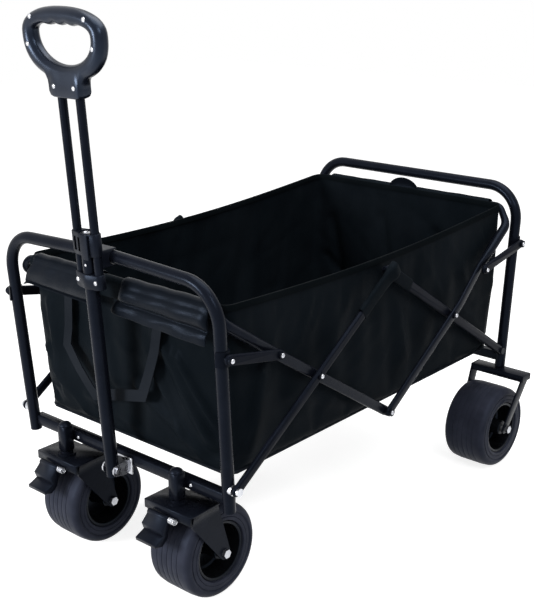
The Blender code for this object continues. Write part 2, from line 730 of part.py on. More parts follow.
def link_saddle(name, side, facing):
    """Half-round saddle on a leg with the bolt that carries a link."""
    y, z = link_pivot(facing)
    x_leg = side * leg_x(z)
    foot, head = (x_leg, y, z - SADDLE_H / 2), (x_leg, y, z + SADDLE_H / 2)
    shell = rod_mesh(foot, head, TUBE_R + SADDLE_T, ROUND_SIDES)
    made = add(name, shell, BLACK_PAINT, (side * LINK_X, y, z))
    inner = LINK_FACE
    outer = LINK_X + LINK_T / 2 + SEAT
    join(made, x_rod(x_leg + side * TUBE_R / 2, side * (inner + SADDLE_T), y, z, HEAD_R, HEAD_SIDES))
    far = TUBE_R + 2 * SADDLE_T
    keep_out = (min(x_leg, x_leg - side * far), y - far, z - SADDLE_H)
    keep_out_high = (max(x_leg, x_leg - side * far), y + far, z + SADDLE_H)
    trim = (min(side * inner, side * (inner + far)), y - far, z - SADDLE_H)
    trim_high = (max(side * inner, side * (inner + far)), y + far, z + SADDLE_H)
    cut(made, box_mesh(keep_out, keep_out_high), box_mesh(trim, trim_high))
    join(
        made,
        x_rod(x_leg + side * TUBE_R / 2, side * (outer + HEAD_T), y, z, PIN_R),
        x_rod(side * outer, side * (outer + HEAD_T), y, z, HEAD_R, HEAD_SIDES),
    )
    return cut(made, leg_clearance(side, facing))


def link(name, side, facing, joint):
    """Short flat link, with the bolt head of its far joint."""
    start = link_pivot(facing)
    x = side * LINK_X
    bar = side_plate(
        [tapered_outline(start, LINK_W / 2, joint, LINK_W / 2)], x, LINK_T, BAR_EDGE / 2
    )
    made = add(name, bar, BLACK_PAINT, (x, *start))
    face = LINK_X + LINK_T / 2
    join(made, x_rod(side * (face - BAR_EDGE), side * (face + HEAD_T), *joint, HEAD_R, HEAD_SIDES))
    return cut(made, pin_hole(side, LINK_X, *start))


for label, side in SIDES.items():
    front_pivot(label, side)
    rear_pivot(label, side)
    link_saddle(f"front_link_saddle_{label}", side, -1.0)
    link_saddle(f"rear_link_saddle_{label}", side, 1.0)
    link(f"front_link_{label}", side, -1.0, FRONT_LINK_JOINT)
    link(f"rear_link_{label}", side, 1.0, REAR_LINK_JOINT)


# Wheels

def tread_profile():
    """Tyre section, from the left bead over the tread to the right bead and back inside."""
    half = WHEEL_W / 2
    outer = [(RIM_SEAT_R + SEAT, half - BEAD_INSET), (RIM_SEAT_R + BEAD_INSET, half)]
    outer += [(WHEEL_R - 2 * SHOULDER, half), (WHEEL_R - SHOULDER / 2, half - SHOULDER / 2)]
    tread = [(WHEEL_R, TREAD_HALF)]
    pitch = 2 * TREAD_HALF / (GROOVE_COUNT + 1)
    for groove in range(GROOVE_COUNT):
        middle = TREAD_HALF - pitch * (groove + 1)
        for offset, depth in ((0.5, 0.0), (0.0, 1.0), (-0.5, 0.0)):
            tread.append((WHEEL_R - GROOVE_DEPTH * depth, middle + GROOVE_W * offset))
    tread.append((WHEEL_R, -TREAD_HALF))
    return outer + tread + [(r, -h) for r, h in reversed(outer)]


def hub_profile():
    """Dished wheel centre: rim barrel, web and boss with a bore."""
    rim = WHEEL_W / 2 - BEAD_INSET
    top = [(AXLE_R + RUN, BOSS_HALF), (BOSS_R, BOSS_HALF), (BOSS_R + DISH_DRAFT, WEB_HALF)]
    top += [(DISH_R - DISH_DRAFT, WEB_HALF), (DISH_R + DISH_DRAFT / 2, rim), (RIM_SEAT_R, rim)]
    return top + [(r, -h) for r, h in reversed(top)]


def wheel(label, x, y):
    """Tyre and hub of one wheel, turned about X."""
    place = Matrix.Translation((x, y, AXLE_Z)) @ Matrix.Rotation(math.pi / 2, 4, "Y")
    centre = (x, y, AXLE_Z)
    add(f"{label}_tyre", turned_mesh(tread_profile(), place), RUBBER, centre)
    add(f"{label}_hub", turned_mesh(hub_profile(), place), HUB_PLASTIC, centre)


def axle(name, x, y, inward, outward):
    """Silver axle bolt with a round head outside and a nut inside."""
    side = math.copysign(1.0, x)
    shank = x_rod(x - side * inward, x + side * outward, y, AXLE_Z, AXLE_R)
    made = add(name, shank, STEEL, (x, y, AXLE_Z))
    outer = x + side * (outward - SEAT)
    inner = x - side * (inward - SEAT)
    return join(
        made,
        x_rod(outer, outer + side * AXLE_HEAD_T, y, AXLE_Z, AXLE_HEAD_R, 6),
        x_rod(inner, inner - side * AXLE_HEAD_T, y, AXLE_Z, AXLE_HEAD_R, 6),
    )


# Swivel casters

def caster_post(label, side):
    """Square post in front of the crossbar, bored for the caster's stem, with a domed cap."""
    half = POST_SIDE / 2
    x, y = side * FRONT_WHEEL_X, -POST_Y
    low_z = PLATE_TOP_Z + 2 * PLATE_T + SWIVEL_GAP
    made = add(
        f"caster_post_{label}",
        box_mesh((x - half, y - half, low_z), (x + half, y + half, POST_TOP_Z), CROSS_EDGE),
        BLACK_PAINT,
    )
    bore_top = PLATE_TOP_Z + SWIVEL_STEM_H + PLATE_T
    cut(made, rod_mesh((x, y, low_z - PLATE_T), (x, y, bore_top), SWIVEL_STEM_R + RUN, ROUND_SIDES))
    rise = Matrix.Translation((x, y, POST_TOP_Z + SEAT))
    body = bmesh.new()
    bmesh.ops.create_uvsphere(body, u_segments=ROUND_SIDES, v_segments=8, radius=1.0)
    bmesh.ops.scale(body, vec=(half + CAP_OVERHANG, half + CAP_OVERHANG, CAP_H), verts=body.verts)
    bmesh.ops.bisect_plane(
        body, geom=body.verts[:] + body.edges[:] + body.faces[:], plane_co=(0, 0, 0),
        plane_no=(0, 0, -1), clear_outer=True, dist=1e-7,
    )
    rim = [edge for edge in body.edges if edge.is_boundary]
    bmesh.ops.contextual_create(body, geom=rim)
    bmesh.ops.recalc_face_normals(body, faces=body.faces)
    bmesh.ops.transform(body, matrix=rise, verts=body.verts)
    mesh = bpy.data.meshes.new("cap")
    body.to_mesh(mesh)
    body.free()
    add(f"post_cap_{label}", mesh, BLACK_PLASTIC)


def caster_fork(label, side):
    """Pressed fork: top plate with a turned-down lip, two tapered cheeks, race and stem."""
    x, y = side * FRONT_WHEEL_X, -POST_Y
    outside = FORK_HALF + FORK_T
    front, back = y - PLATE_FRONT, y + PLATE_BACK
    low = PLATE_TOP_Z - PLATE_T
    plate = box_mesh((x - outside, front, low), (x + outside, back, PLATE_TOP_Z), PLATE_EDGE)
    made = add(f"caster_fork_{label}", plate, BLACK_PAINT, (x, y, PLATE_TOP_Z))
    lip_low = (x - outside, front, PLATE_TOP_Z - PLATE_LIP)
    lip_high = (x + outside, front + FORK_T, PLATE_TOP_Z - PLATE_EDGE)
    join(made, box_mesh(lip_low, lip_high, PLATE_EDGE))
    eye = (-FRONT_AXLE_Y, AXLE_Z)
    root = PLATE_TOP_Z - PLATE_T / 2
    cheek = [(front + CHEEK_TOP_IN, root), (front + CHEEK_NECK_IN, PLATE_TOP_Z - CHEEK_NECK_DROP)]
    cheek += arc(eye, EYE_R, 215, 375, 6)
    cheek += [(back, PLATE_TOP_Z - CHEEK_BACK_DROP), (back - CHEEK_BACK_IN, root)]
    for edge in (-1.0, 1.0):
        join(made, side_plate([cheek], x + edge * (FORK_HALF + FORK_T / 2), FORK_T - 2 * SHY))
    turned = ((SWIVEL_COLLAR_R, 2 * PLATE_T), (SWIVEL_RACE_R, PLATE_T), (SWIVEL_STEM_R, SWIVEL_STEM_H))
    for radius, height in turned:
        join(made, rod_mesh((x, y, root), (x, y, PLATE_TOP_Z + height), radius, ROUND_SIDES))
    hole = x_rod(x - 2 * outside, x + 2 * outside, *eye, AXLE_R + RUN)
    return cut(made, hole)


def brake_pedal(label, side):
    """Moulded brake pedal hung in front of the caster, hinged under the plate's lip."""
    x = side * FRONT_WHEEL_X + PEDAL_SIDE
    y, z = -POST_Y - PEDAL_HINGE_Y, PEDAL_HINGE_Z
    outline = arc((y, z), PEDAL_EYE_R, -60, 200, 7)
    outline += [(y - PEDAL_REACH * forward, z - PEDAL_DROP * down) for forward, down in PEDAL_PROFILE]
    mesh = side_plate([outline], x, PEDAL_W, PEDAL_EDGE)
    return add(f"brake_pedal_{label}", mesh, BLACK_PLASTIC, (x, y, z))


for label, side in SIDES.items():
    caster_post(label, side)
    caster_fork(label, side)
    brake_pedal(label, side)
    wheel(f"front_{label}", side * FRONT_WHEEL_X, -FRONT_AXLE_Y)
    axle(f"front_axle_{label}", side * FRONT_WHEEL_X, -FRONT_AXLE_Y, FORK_AXLE_HALF, FORK_AXLE_HALF)


# Fixed rear forks and wheels

def rear_fork(label, side):
    """Inverted-U fork under a rear leg: bridge, upright inner arm and leaning outer arm."""
    x = side * REAR_WHEEL_X
    top = FOOT_Z - TUBE_R * LEG_TILT - SEAT
    half_d = REAR_BRIDGE_D / 2
    inner, outer = x - side * REAR_ARM_X, x + side * (REAR_ARM_X + REAR_FORK_SPREAD)
    low = (min(inner, outer), REAR_BRIDGE_Y - half_d, top - REAR_BRIDGE_H)
    high = (max(inner, outer), REAR_BRIDGE_Y + half_d, top)
    bridge = box_mesh(low, high, CROSS_EDGE)
    made = add(f"rear_fork_{label}", bridge, BLACK_PAINT, (x, REAR_BRIDGE_Y, top))
    eye = (REAR_AXLE_Y, AXLE_Z)
    root = (REAR_BRIDGE_Y, top - REAR_BRIDGE_H / 2)
    arm = tapered_outline(root, half_d - REAR_ARM_IN, eye, REAR_EYE_R)
    join(made, side_plate([arm], x - side * (REAR_FORK_IN + FORK_T / 2), FORK_T - 2 * SHY))
    lean = math.atan2(REAR_FORK_SPREAD, top - REAR_BRIDGE_H / 2 - AXLE_Z)
    at_eye = Matrix.Translation((x + side * (REAR_FORK_IN + FORK_T / 2), 0.0, AXLE_Z))
    to_eye = Matrix.Translation((0.0, 0.0, -AXLE_Z)) @ TO_SIDE
    swing = at_eye @ Matrix.Rotation(side * lean, 4, "Y") @ to_eye
    join(made, plate_mesh([arm], FORK_T - 2 * SHY, swing))
    trim_low = (low[0] - PAST, low[1] - PAST, top + SHY)
    trim_high = (high[0] + PAST, high[1] + PAST, top + PAST)
    cut(made, box_mesh(trim_low, trim_high))
    reach = 2 * REAR_ARM_X
    return cut(made, x_rod(x - reach, x + reach, *eye, AXLE_R + RUN))


for label, side in SIDES.items():
    rear_fork(label, side)
    wheel(f"rear_{label}", side * REAR_WHEEL_X, REAR_AXLE_Y)
    inward, outward = REAR_ARM_X + SEAT, REAR_ARM_X + REAR_AXLE_PROUD
    axle(f"rear_axle_{label}", side * REAR_WHEEL_X, REAR_AXLE_Y, inward, outward)


# Telescopic handle

HINGE = Vector((0.0, -HINGE_Y, HINGE_Z))


def up_handle(x, along, out=0.0):
    """A point at a distance along the leaning handle, and out in front of it."""
    front = Vector((0.0, -math.cos(HANDLE_LEAN), -math.sin(HANDLE_LEAN)))
    return HINGE + Vector((x, 0.0, 0.0)) + HANDLE_UP * along + front * out


LEAN_TURN = Matrix.Rotation(HANDLE_LEAN, 4, "X")


def sleeve_block(low, high):
    """A moulded block that wraps the centre tube and both rods between two places on the handle."""
    wrap, core = ROD_R + SLEEVE_WALL, STEM_R + SLEEVE_WALL
    section = arc((ROD_X, 0.0), wrap, -70, 70, 5) + arc((0.0, 0.0), core, 70, 110, 2)
    section += [(-u, -v) for u, v in section]
    place = Matrix.Translation(up_handle(0.0, (low + high) / 2)) @ LEAN_TURN
    return plate_mesh([section], high - low, place, SLEEVE_EDGE)


def handle_yoke():
    """Zinc-plated yoke on the crossbar: back plate, two ears and the hinge pin."""
    ear_x = STEM_R + YOKE_GAP
    back_y = -FRONT_CROSS_Y - CROSS_SIDE / 2 - SEAT
    half_z = YOKE_R
    low = (-ear_x - YOKE_FLANGE, back_y - YOKE_EAR_T, HINGE_Z - half_z)
    high = (ear_x + YOKE_FLANGE, back_y, HINGE_Z + half_z + YOKE_EAR_T)
    made = add("handle_yoke", box_mesh(low, high, YOKE_EAR_T / 4), STEEL, HINGE)
    root = (back_y - YOKE_ROOT_IN, HINGE_Z)
    ear = tapered_outline((-HINGE_Y, HINGE_Z), YOKE_EYE_R, root, YOKE_ROOT_R)
    for side in SIDES.values():
        cheek = side_plate([ear], side * (ear_x + YOKE_EAR_T / 2), YOKE_EAR_T)
        join(made, cheek)
        face = ear_x + YOKE_EAR_T / 2
        head = face + YOKE_EAR_T / 2 + HEAD_T
        join(made, x_rod(side * face, side * head, -HINGE_Y, HINGE_Z, HEAD_R, HEAD_SIDES))
    join(made, x_rod(-ear_x - YOKE_EAR_T / 2, ear_x + YOKE_EAR_T / 2, -HINGE_Y, HINGE_Z, PIN_R))
    trim_low = (low[0] - PAST, back_y, low[2] - PAST)
    trim_high = (high[0] + PAST, back_y + PAST, high[2] + PAST)
    return cut(made, box_mesh(trim_low, trim_high))


def handle_tube():
    """Centre tube, hinged at its foot."""
    foot, top = up_handle(0.0, STEM_BOTTOM), up_handle(0.0, STEM_TOP)
    made = add("handle_tube", rod_mesh(foot, top, STEM_R, ROUND_SIDES), BLACK_PAINT, HINGE)
    return cut(made, x_rod(-2 * STEM_R, 2 * STEM_R, -HINGE_Y, HINGE_Z, PIN_R + RUN))


def handle_guide():
    """Guide block on the tube's top end: rod holes, and a clip that snaps on the top bar."""
    made = add("handle_guide", sleeve_block(GUIDE_LOW, GUIDE_HIGH), BLACK_PLASTIC, HINGE)
    bar_z = FRONT_BAR_Z - FRONT_ARCH * CLIP_HALF_X / TOP_HALF_X
    jaw = TUBE_R + CLIP_JAW + SEAT
    clip_low = (-CLIP_HALF_X, -TOP_HALF_Y - TUBE_R - CLIP_ROOT, bar_z - jaw)
    clip_high = (CLIP_HALF_X, -TOP_HALF_Y + CLIP_REACH, bar_z + jaw)
    join(made, box_mesh(clip_low, clip_high, CLIP_EDGE))
    bore = TUBE_R + CLIP_PLAY
    cut(
        made,
        rod_mesh((-PAST, -TOP_HALF_Y, bar_z), (PAST, -TOP_HALF_Y, bar_z), bore, ROUND_SIDES),
        box_mesh((-PAST, -TOP_HALF_Y, bar_z - bore), (PAST, -TOP_HALF_Y + PAST, bar_z + bore)),
    )
    low, high = (up_handle(0.0, along) for along in (GUIDE_LOW - PAST, STEM_TOP + PAST))
    cut(made, rod_mesh(low, high, STEM_R + SEAT, ROUND_SIDES))
    for side in SIDES.values():
        low, high = (up_handle(side * ROD_X, along) for along in (GUIDE_LOW - PAST, GUIDE_HIGH + PAST))
        cut(made, rod_mesh(low, high, ROD_R + RUN, ROUND_SIDES))
    return made


def handle_slider():
    """Slider block on the rods' lower ends, running on the centre tube."""
    block = sleeve_block(SLIDER_LOW, SLIDER_HIGH)
    made = add("handle_slider", block, BLACK_PLASTIC, up_handle(0.0, SLIDER_LOW))
    below, above = SLIDER_LOW - PAST, SLIDER_HIGH + PAST
    cut(made, rod_mesh(up_handle(0.0, below), up_handle(0.0, above), STEM_R + RUN, ROUND_SIDES))
    seat = SLIDER_LOW + ROD_SEAT
    for label, side in SIDES.items():
        x = side * ROD_X
        cut(made, rod_mesh(up_handle(x, seat), up_handle(x, above), ROD_R + SEAT, ROUND_SIDES))
        rod = rod_mesh(up_handle(x, seat + SEAT), up_handle(x, ROD_TOP), ROD_R, ROUND_SIDES)
        add(f"handle_rod_{label}", rod, BLACK_PAINT, up_handle(x, seat))
    return made


def mirrored(points):
    """A closed outline from its right half, given from the bottom to the top."""
    return points + [(-u, v) for u, v in reversed(points)]


def swept(eye, half_x, below, above, squareness, start, end, steps):
    """Right half of a rounded form from a start to an end angle, given in degrees about its eye."""
    points = []
    for step in range(steps):
        angle = math.radians(start + (end - start) * step / (steps - 1))
        rise = above if angle > 0 else below
        u = half_x * math.cos(angle) ** squareness
        v = eye + rise * math.copysign(abs(math.sin(angle)) ** squareness, angle)
        points.append((u, v))
    return points


def grip_outline():
    """The D-grip's outside: foot, collar, swelling cheek and flat top."""
    half = [(GRIP_BASE_HALF - GRIP_CORNER, GRIP_LOW), (GRIP_BASE_HALF, GRIP_LOW + GRIP_CORNER)]
    half.append((GRIP_BASE_HALF, GRIP_LOW + GRIP_COLLAR))
    half += swept(
        GRIP_EYE, GRIP_HALF_X, GRIP_DROP, GRIP_HIGH - GRIP_EYE, GRIP_SQUARENESS,
        GRIP_CHEEK_START, GRIP_CHEEK_END, 13,
    )
    return mirrored(half)


def hole_outline(count):
    """The hand hole: round below, flat above with finger bumps; as many points as the grip's outside."""
    below, above = HOLE_EYE - HOLE_LOW, HOLE_HIGH - HOLE_EYE
    half = swept(HOLE_EYE, HOLE_HALF_X, below, above, 1.0, -HOLE_END, 0.0, count // 4)
    top_count = count // 2 - len(half) + 1
    top = swept(HOLE_EYE, HOLE_HALF_X, below, above, HOLE_SQUARENESS, 0.0, HOLE_END, top_count)
    for u, v in top[1:]:
        bump = math.cos(math.pi * u / FINGER_PITCH) ** 2 if u < FINGER_SPAN else 0.0
        half.append((u, v - FINGER_WAVE * bump))
    return mirrored(half)


def inset(outline, distance):
    """A closed outline moved inwards; a negative distance moves it outwards."""
    corners = [Vector(point) for point in outline]
    moved = []
    for index, corner in enumerate(corners):
        arrive = (corner - corners[index - 1]).normalized()
        leave = (corners[(index + 1) % len(corners)] - corner).normalized()
        across = arrive + leave
        moved.append(corner + Vector((-across.y, across.x)).normalized() * distance)
    return moved


def grip_shell(name, front):
    """One moulded half of the grip; front is 1 for the half away from the cart."""
    outside = grip_outline()
    hole = hole_outline(len(outside))
    levels = ((SEAT / 2, 0.0), (GRIP_HALF_T - GRIP_ROUND, 0.0), (GRIP_HALF_T, GRIP_ROUND))
    rings = [(inset(outside, shrink), out) for out, shrink in levels]
    rings += [(inset(hole, -shrink), out) for out, shrink in reversed(levels)]
    body = bmesh.new()
    made_rings = []
    for outline, out in rings:
        made_rings.append([body.verts.new(up_handle(point[0], point[1], front * out)) for point in outline])
    count = len(outside)
    for ring, following in zip(made_rings, made_rings[1:] + made_rings[:1]):
        for i in range(count):
            j = (i + 1) % count
            body.faces.new((ring[i], ring[j], following[j], following[i]))
    bmesh.ops.triangulate(body, faces=body.faces[:])
    bmesh.ops.recalc_face_normals(body, faces=body.faces[:])
    mesh = bpy.data.meshes.new(name)
    body.to_mesh(mesh)
    body.free()
    made = add(name, mesh, BLACK_PLASTIC, up_handle(0.0, GRIP_LOW))
    for side in SIDES.values():
        low, high = (up_handle(side * ROD_X, along) for along in (GRIP_LOW - PAST, ROD_TOP + SEAT))
        cut(made, rod_mesh(low, high, ROD_R + SEAT, ROUND_SIDES))
    return made


handle_yoke()
handle_tube()
handle_guide()
handle_slider()
grip_shell("grip_front_shell", 1.0)
grip_shell("grip_rear_shell", -1.0)


# Cloth bag: floor, two side walls with a sagging edge and two leaning end walls that hang on the rim rods

def side_wall(label, side):
    """Side wall, leaning in a little towards the floor."""
    front, rear = -BAG_FRONT_Y, BAG_REAR_Y
    steps = 10
    top = []
    for step in range(steps + 1):
        share = step / steps
        z = BAG_REAR_Z + (BAG_FRONT_Z - BAG_REAR_Z) * share - BAG_SAG * math.sin(math.pi * share)
        top.append((rear + (front - rear) * share, z))
    outline = [(-BAG_FRONT_FOOT, BAG_FLOOR_Z), (BAG_REAR_FOOT, BAG_FLOOR_Z)] + top
    lean = math.atan2(BAG_HALF_X - BAG_FLOOR_HALF_X, BAG_FRONT_Z - BAG_FLOOR_Z)
    base = Matrix.Translation((side * (BAG_FLOOR_HALF_X - BAG_WALL / 2), 0.0, BAG_FLOOR_Z))
    to_base = Matrix.Translation((0.0, 0.0, -BAG_FLOOR_Z)) @ TO_SIDE
    place = base @ Matrix.Rotation(side * lean, 4, "Y") @ to_base
    add(f"bag_side_{label}", plate_mesh([outline], BAG_WALL, place), CLOTH)


def hem_mesh(facing, rim, wall_y, drop, x_low, x_high):
    """Doubled cloth that folds over a rim rod from the end wall's top and hangs down outside it."""
    inside, outside = RIM_R + SEAT, RIM_R + SEAT + HEM_T
    rod_y, rod_z = rim[1], rim[2]
    section = [(rod_y + inside, rod_z - drop), (rod_y + outside, rod_z - drop)]
    section += arc((rod_y, rod_z), outside, 0, 180, 8)
    section += [(wall_y, rod_z), (wall_y, rod_z - HEM_ROOT)]
    section += arc((rod_y, rod_z), inside, 180, 0, 8)
    outline = [(facing * y, z) for y, z in section]
    return side_plate([outline], (x_low + x_high) / 2, x_high - x_low)


def end_wall(name, facing, y, foot_y, rim, flaps, drop):
    """End wall between the side walls, leaning with them; flaps are the hem's stretches along X."""
    gap = BAG_WALL + 2 * SEAT
    top_z = rim[2] + BAG_ABOVE_RIM
    outline = [
        (-BAG_FLOOR_HALF_X + gap, BAG_FLOOR_Z),
        (BAG_FLOOR_HALF_X - gap, BAG_FLOOR_Z),
        (BAG_HALF_X - gap, top_z),
        (-BAG_HALF_X + gap, top_z),
    ]
    lean = math.atan2(y - foot_y, top_z - BAG_FLOOR_Z)
    foot = facing * (foot_y - BAG_WALL)
    base = Matrix.Translation((0.0, foot, BAG_FLOOR_Z))
    stand = Matrix.Rotation(-facing * lean, 4, "X") @ Matrix.Rotation(math.pi / 2, 4, "X")
    place = base @ stand @ Matrix.Translation((0.0, -BAG_FLOOR_Z, 0.0))
    made = add(name, plate_mesh([outline], BAG_WALL, place), CLOTH)
    for x_low, x_high in flaps:
        join(made, hem_mesh(facing, rim, y - BAG_WALL, drop, x_low, x_high))
    return made


def bag_floor():
    """Stiffened floor between the walls."""
    gap = 2 * BAG_WALL + SEAT
    half_x = BAG_FLOOR_HALF_X - BAG_WALL - 2 * SEAT
    low = (-half_x, -BAG_FRONT_FOOT + gap, BAG_FLOOR_Z)
    high = (half_x, BAG_REAR_FOOT - gap, BAG_FLOOR_Z + FLOOR_T)
    add("bag_floor", box_mesh(low, high), CLOTH)


for label, side in SIDES.items():
    side_wall(label, side)
flap_x = FRONT_RIM[0] - FLAP_END
front_flaps = ((-flap_x, -FLAP_GAP), (FLAP_GAP, flap_x))
end_wall("bag_front_wall", -1.0, BAG_FRONT_Y, BAG_FRONT_FOOT, FRONT_RIM, front_flaps, FRONT_FLAP)
end_wall("bag_rear_wall", 1.0, BAG_REAR_Y, BAG_REAR_FOOT, REAR_RIM, ((-flap_x, flap_x),), REAR_FLAP)
bag_floor()
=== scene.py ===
"""Looks of the folding beach cart: materials, cloth bag, wheels, trim, light and camera.

Metres, +Z up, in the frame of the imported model; the handle is at the -Y end.
"""
import json
import math
from collections import namedtuple

import bmesh
import bpy
from mathutils import Matrix, Vector, noise


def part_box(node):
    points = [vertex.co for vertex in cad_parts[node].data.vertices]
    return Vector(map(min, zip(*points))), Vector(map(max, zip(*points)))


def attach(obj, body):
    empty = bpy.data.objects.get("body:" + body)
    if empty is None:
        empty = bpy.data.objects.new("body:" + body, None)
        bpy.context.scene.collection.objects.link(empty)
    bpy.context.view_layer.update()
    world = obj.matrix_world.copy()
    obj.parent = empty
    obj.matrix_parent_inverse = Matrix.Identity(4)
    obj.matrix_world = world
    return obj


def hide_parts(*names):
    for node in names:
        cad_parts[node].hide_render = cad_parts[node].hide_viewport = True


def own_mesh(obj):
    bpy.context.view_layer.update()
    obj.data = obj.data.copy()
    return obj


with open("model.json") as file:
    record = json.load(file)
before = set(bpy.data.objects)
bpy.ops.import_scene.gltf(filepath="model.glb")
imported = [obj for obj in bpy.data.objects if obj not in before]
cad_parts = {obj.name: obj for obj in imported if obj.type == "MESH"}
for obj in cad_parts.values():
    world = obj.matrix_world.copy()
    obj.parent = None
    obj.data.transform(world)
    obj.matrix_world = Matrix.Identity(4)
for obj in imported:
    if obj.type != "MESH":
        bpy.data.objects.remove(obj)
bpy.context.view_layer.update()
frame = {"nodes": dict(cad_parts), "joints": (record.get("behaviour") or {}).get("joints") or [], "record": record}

# Places taken from the frame, and sizes that several sections use
JOINTS = {joint["name"]: Vector(joint["pos_m"]) for joint in frame["joints"] if "pos_m" in joint}
AXES = {joint["name"]: Vector(joint["axis"]) for joint in frame["joints"]}
SIDES = {"left": -1.0, "right": 1.0}
X_AXIS = Vector((1.0, 0.0, 0.0))
MIRROR = Vector((-1.0, 1.0, 1.0))  # turns a point of the right side into one of the left
MID_Y = 0.0282  # middle plane between the end frames
OUTER_X = 0.2765  # middle planes of the outer and inner scissor bars
INNER_X = 0.2660
BAR_RUN = Vector((0.0, 0.2122, 0.139)).normalized()  # slope of the bars that rise to the rear
LINK_REACH = 0.128  # from a crossing to the link joint beyond it
RIM_R = 0.0075  # rim rods
FRONT_ROD_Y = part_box("front_rim_loop")[0].y + RIM_R
FRONT_ROD_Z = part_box("front_rim_loop")[1].z - RIM_R
REAR_ROD_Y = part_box("rear_rim_loop")[1].y - RIM_R
REAR_ROD_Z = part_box("rear_rim_loop")[1].z - RIM_R
FRONT_CROSSING = JOINTS["front_crossing"]
REAR_CROSSING = JOINTS["rear_crossing"]
LOW_MID = Vector((0.0, (FRONT_CROSSING.y + REAR_CROSSING.y) / 2, JOINTS["fold"].z))
WELD = 0.00001  # points closer than this are one


# Small helpers

def mix(a, b, share):
    """The value that lies a share of the way from a to b."""
    return a + (b - a) * share


def ramp(value, start, end):
    """0 up to start, 1 from end on."""
    return max(0.0, min(1.0, (value - start) / (end - start)))


def within(value, limit):
    """The value, kept between -limit and limit."""
    return max(-limit, min(limit, value))


def signed_power(value, exponent):
    """A power that keeps the value's sign, for rounded squares."""
    return math.copysign(abs(value) ** exponent, value)


def turns(count, shift=0.0):
    """Angles of equal steps round a full circle."""
    return [2.0 * math.pi * (step + shift) / count for step in range(count)]


# Materials

Look = namedtuple("Look", "material slot")
COOL_GLOSS = (0.50, 0.67, 1.0, 1.0)  # the blacks shine slightly blue
HARD_PATCHES = (35.0, 60.0)  # scales of the drifting tone and gloss
CLOTH_PATCHES = (9.0, 14.0)
NOISE_SPAN = (0.3, 0.7)  # noise values that are stretched to a full range
GRAIN_DEPTH = 0.0002
WEAVE_DEPTH = 0.0004
WEAVE_STRENGTH = 0.10
WEAVE_PITCH = 0.0011
WEBBING_PITCH = 0.0024
PAINT_TONES = ((0.0030, 0.0037, 0.0062), (0.0046, 0.0055, 0.0089))


def add_node(tree, kind, inputs=None, **settings):
    """One shader node with its settings and plain input values."""
    made = tree.nodes.new(kind)
    for key, value in settings.items():
        setattr(made, key, value)
    for key, value in (inputs or {}).items():
        made.inputs[key].default_value = value
    return made


def patches(tree, where, scale, low, high, detail=4.0):
    """A value that drifts between low and high in soft patches of the given scale."""
    spots = add_node(tree, "ShaderNodeTexNoise", {"Scale": scale, "Detail": detail})
    tree.links.new(where, spots.inputs["Vector"])
    limits = {"From Min": NOISE_SPAN[0], "From Max": NOISE_SPAN[1], "To Min": low, "To Max": high}
    spread = add_node(tree, "ShaderNodeMapRange", limits)
    tree.links.new(spots.outputs["Fac"], spread.inputs["Value"])
    return spread.outputs["Result"]


def start_material(name, tones, rough, specular, scales, metallic=0.0):
    """A Principled material whose tone and gloss drift in patches of the given scales."""
    made = bpy.data.materials.new(name)
    made.use_nodes = True
    tree = made.node_tree
    shader = tree.nodes["Principled BSDF"]
    shader.inputs["Metallic"].default_value = metallic
    shader.inputs["Specular IOR Level"].default_value = specular
    if not metallic:
        shader.inputs["Specular Tint"].default_value = COOL_GLOSS
    where = add_node(tree, "ShaderNodeTexCoord").outputs["Object"]
    dark, light = tones
    tone = add_node(tree, "ShaderNodeMix", {"A": (*dark, 1.0), "B": (*light, 1.0)}, data_type="RGBA")
    tree.links.new(patches(tree, where, scales[0], 0.0, 1.0), tone.inputs["Factor"])
    tree.links.new(tone.outputs["Result"], shader.inputs["Base Color"])
    tree.links.new(patches(tree, where, scales[1], *rough), shader.inputs["Roughness"])
    return made, tree, shader, where


def relief(tree, shader, height, depth, strength):
    """Bump from a height value."""
    bump = add_node(tree, "ShaderNodeBump", {"Strength": strength, "Distance": depth})
    tree.links.new(height, bump.inputs["Height"])
    tree.links.new(bump.outputs["Normal"], shader.inputs["Normal"])


def hard_material(name, slot, tones, rough, specular, grain, strength, metallic=0.0):
    """Painted, moulded or plated surface with a fine grain."""
    made, tree, shader, where = start_material(name, tones, rough, specular, HARD_PATCHES, metallic)
    relief(tree, shader, patches(tree, where, grain, 0.0, 1.0, 2.0), GRAIN_DEPTH, strength)
    return Look(made, slot)


def threads(tree, where, pitch):
    """Plain weave as a height: warp and weft waves that work on walls of any direction."""
    split = add_node(tree, "ShaderNodeSeparateXYZ")
    tree.links.new(where, split.inputs["Vector"])

    def math_node(operation, a, b):
        made = add_node(tree, "ShaderNodeMath", operation=operation)
        for socket, value in zip(made.inputs, (a, b)):
            if isinstance(value, float):
                socket.default_value = value
            else:
                tree.links.new(value, socket)
        return made.outputs["Value"]

    rate = 2.0 * math.pi / pitch
    across = math_node("ADD", split.outputs["X"], split.outputs["Y"])
    lean = math_node("MULTIPLY", math_node("SUBTRACT", split.outputs["X"], split.outputs["Y"]), 0.5)
    along = math_node("ADD", split.outputs["Z"], lean)
    warp = math_node("SINE", math_node("MULTIPLY", across, rate), 0.0)
    weft = math_node("SINE", math_node("MULTIPLY", along, rate), 0.0)
    return math_node("MULTIPLY", warp, weft)


def cloth_material(name, tones, rough, specular, pitch=WEAVE_PITCH):
    """Woven polyester with a weave relief."""
    made, tree, shader, where = start_material(name, tones, rough, specular, CLOTH_PATCHES)
    relief(tree, shader, threads(tree, where, pitch), WEAVE_DEPTH, WEAVE_STRENGTH)
    return Look(made, "bag_cloth")


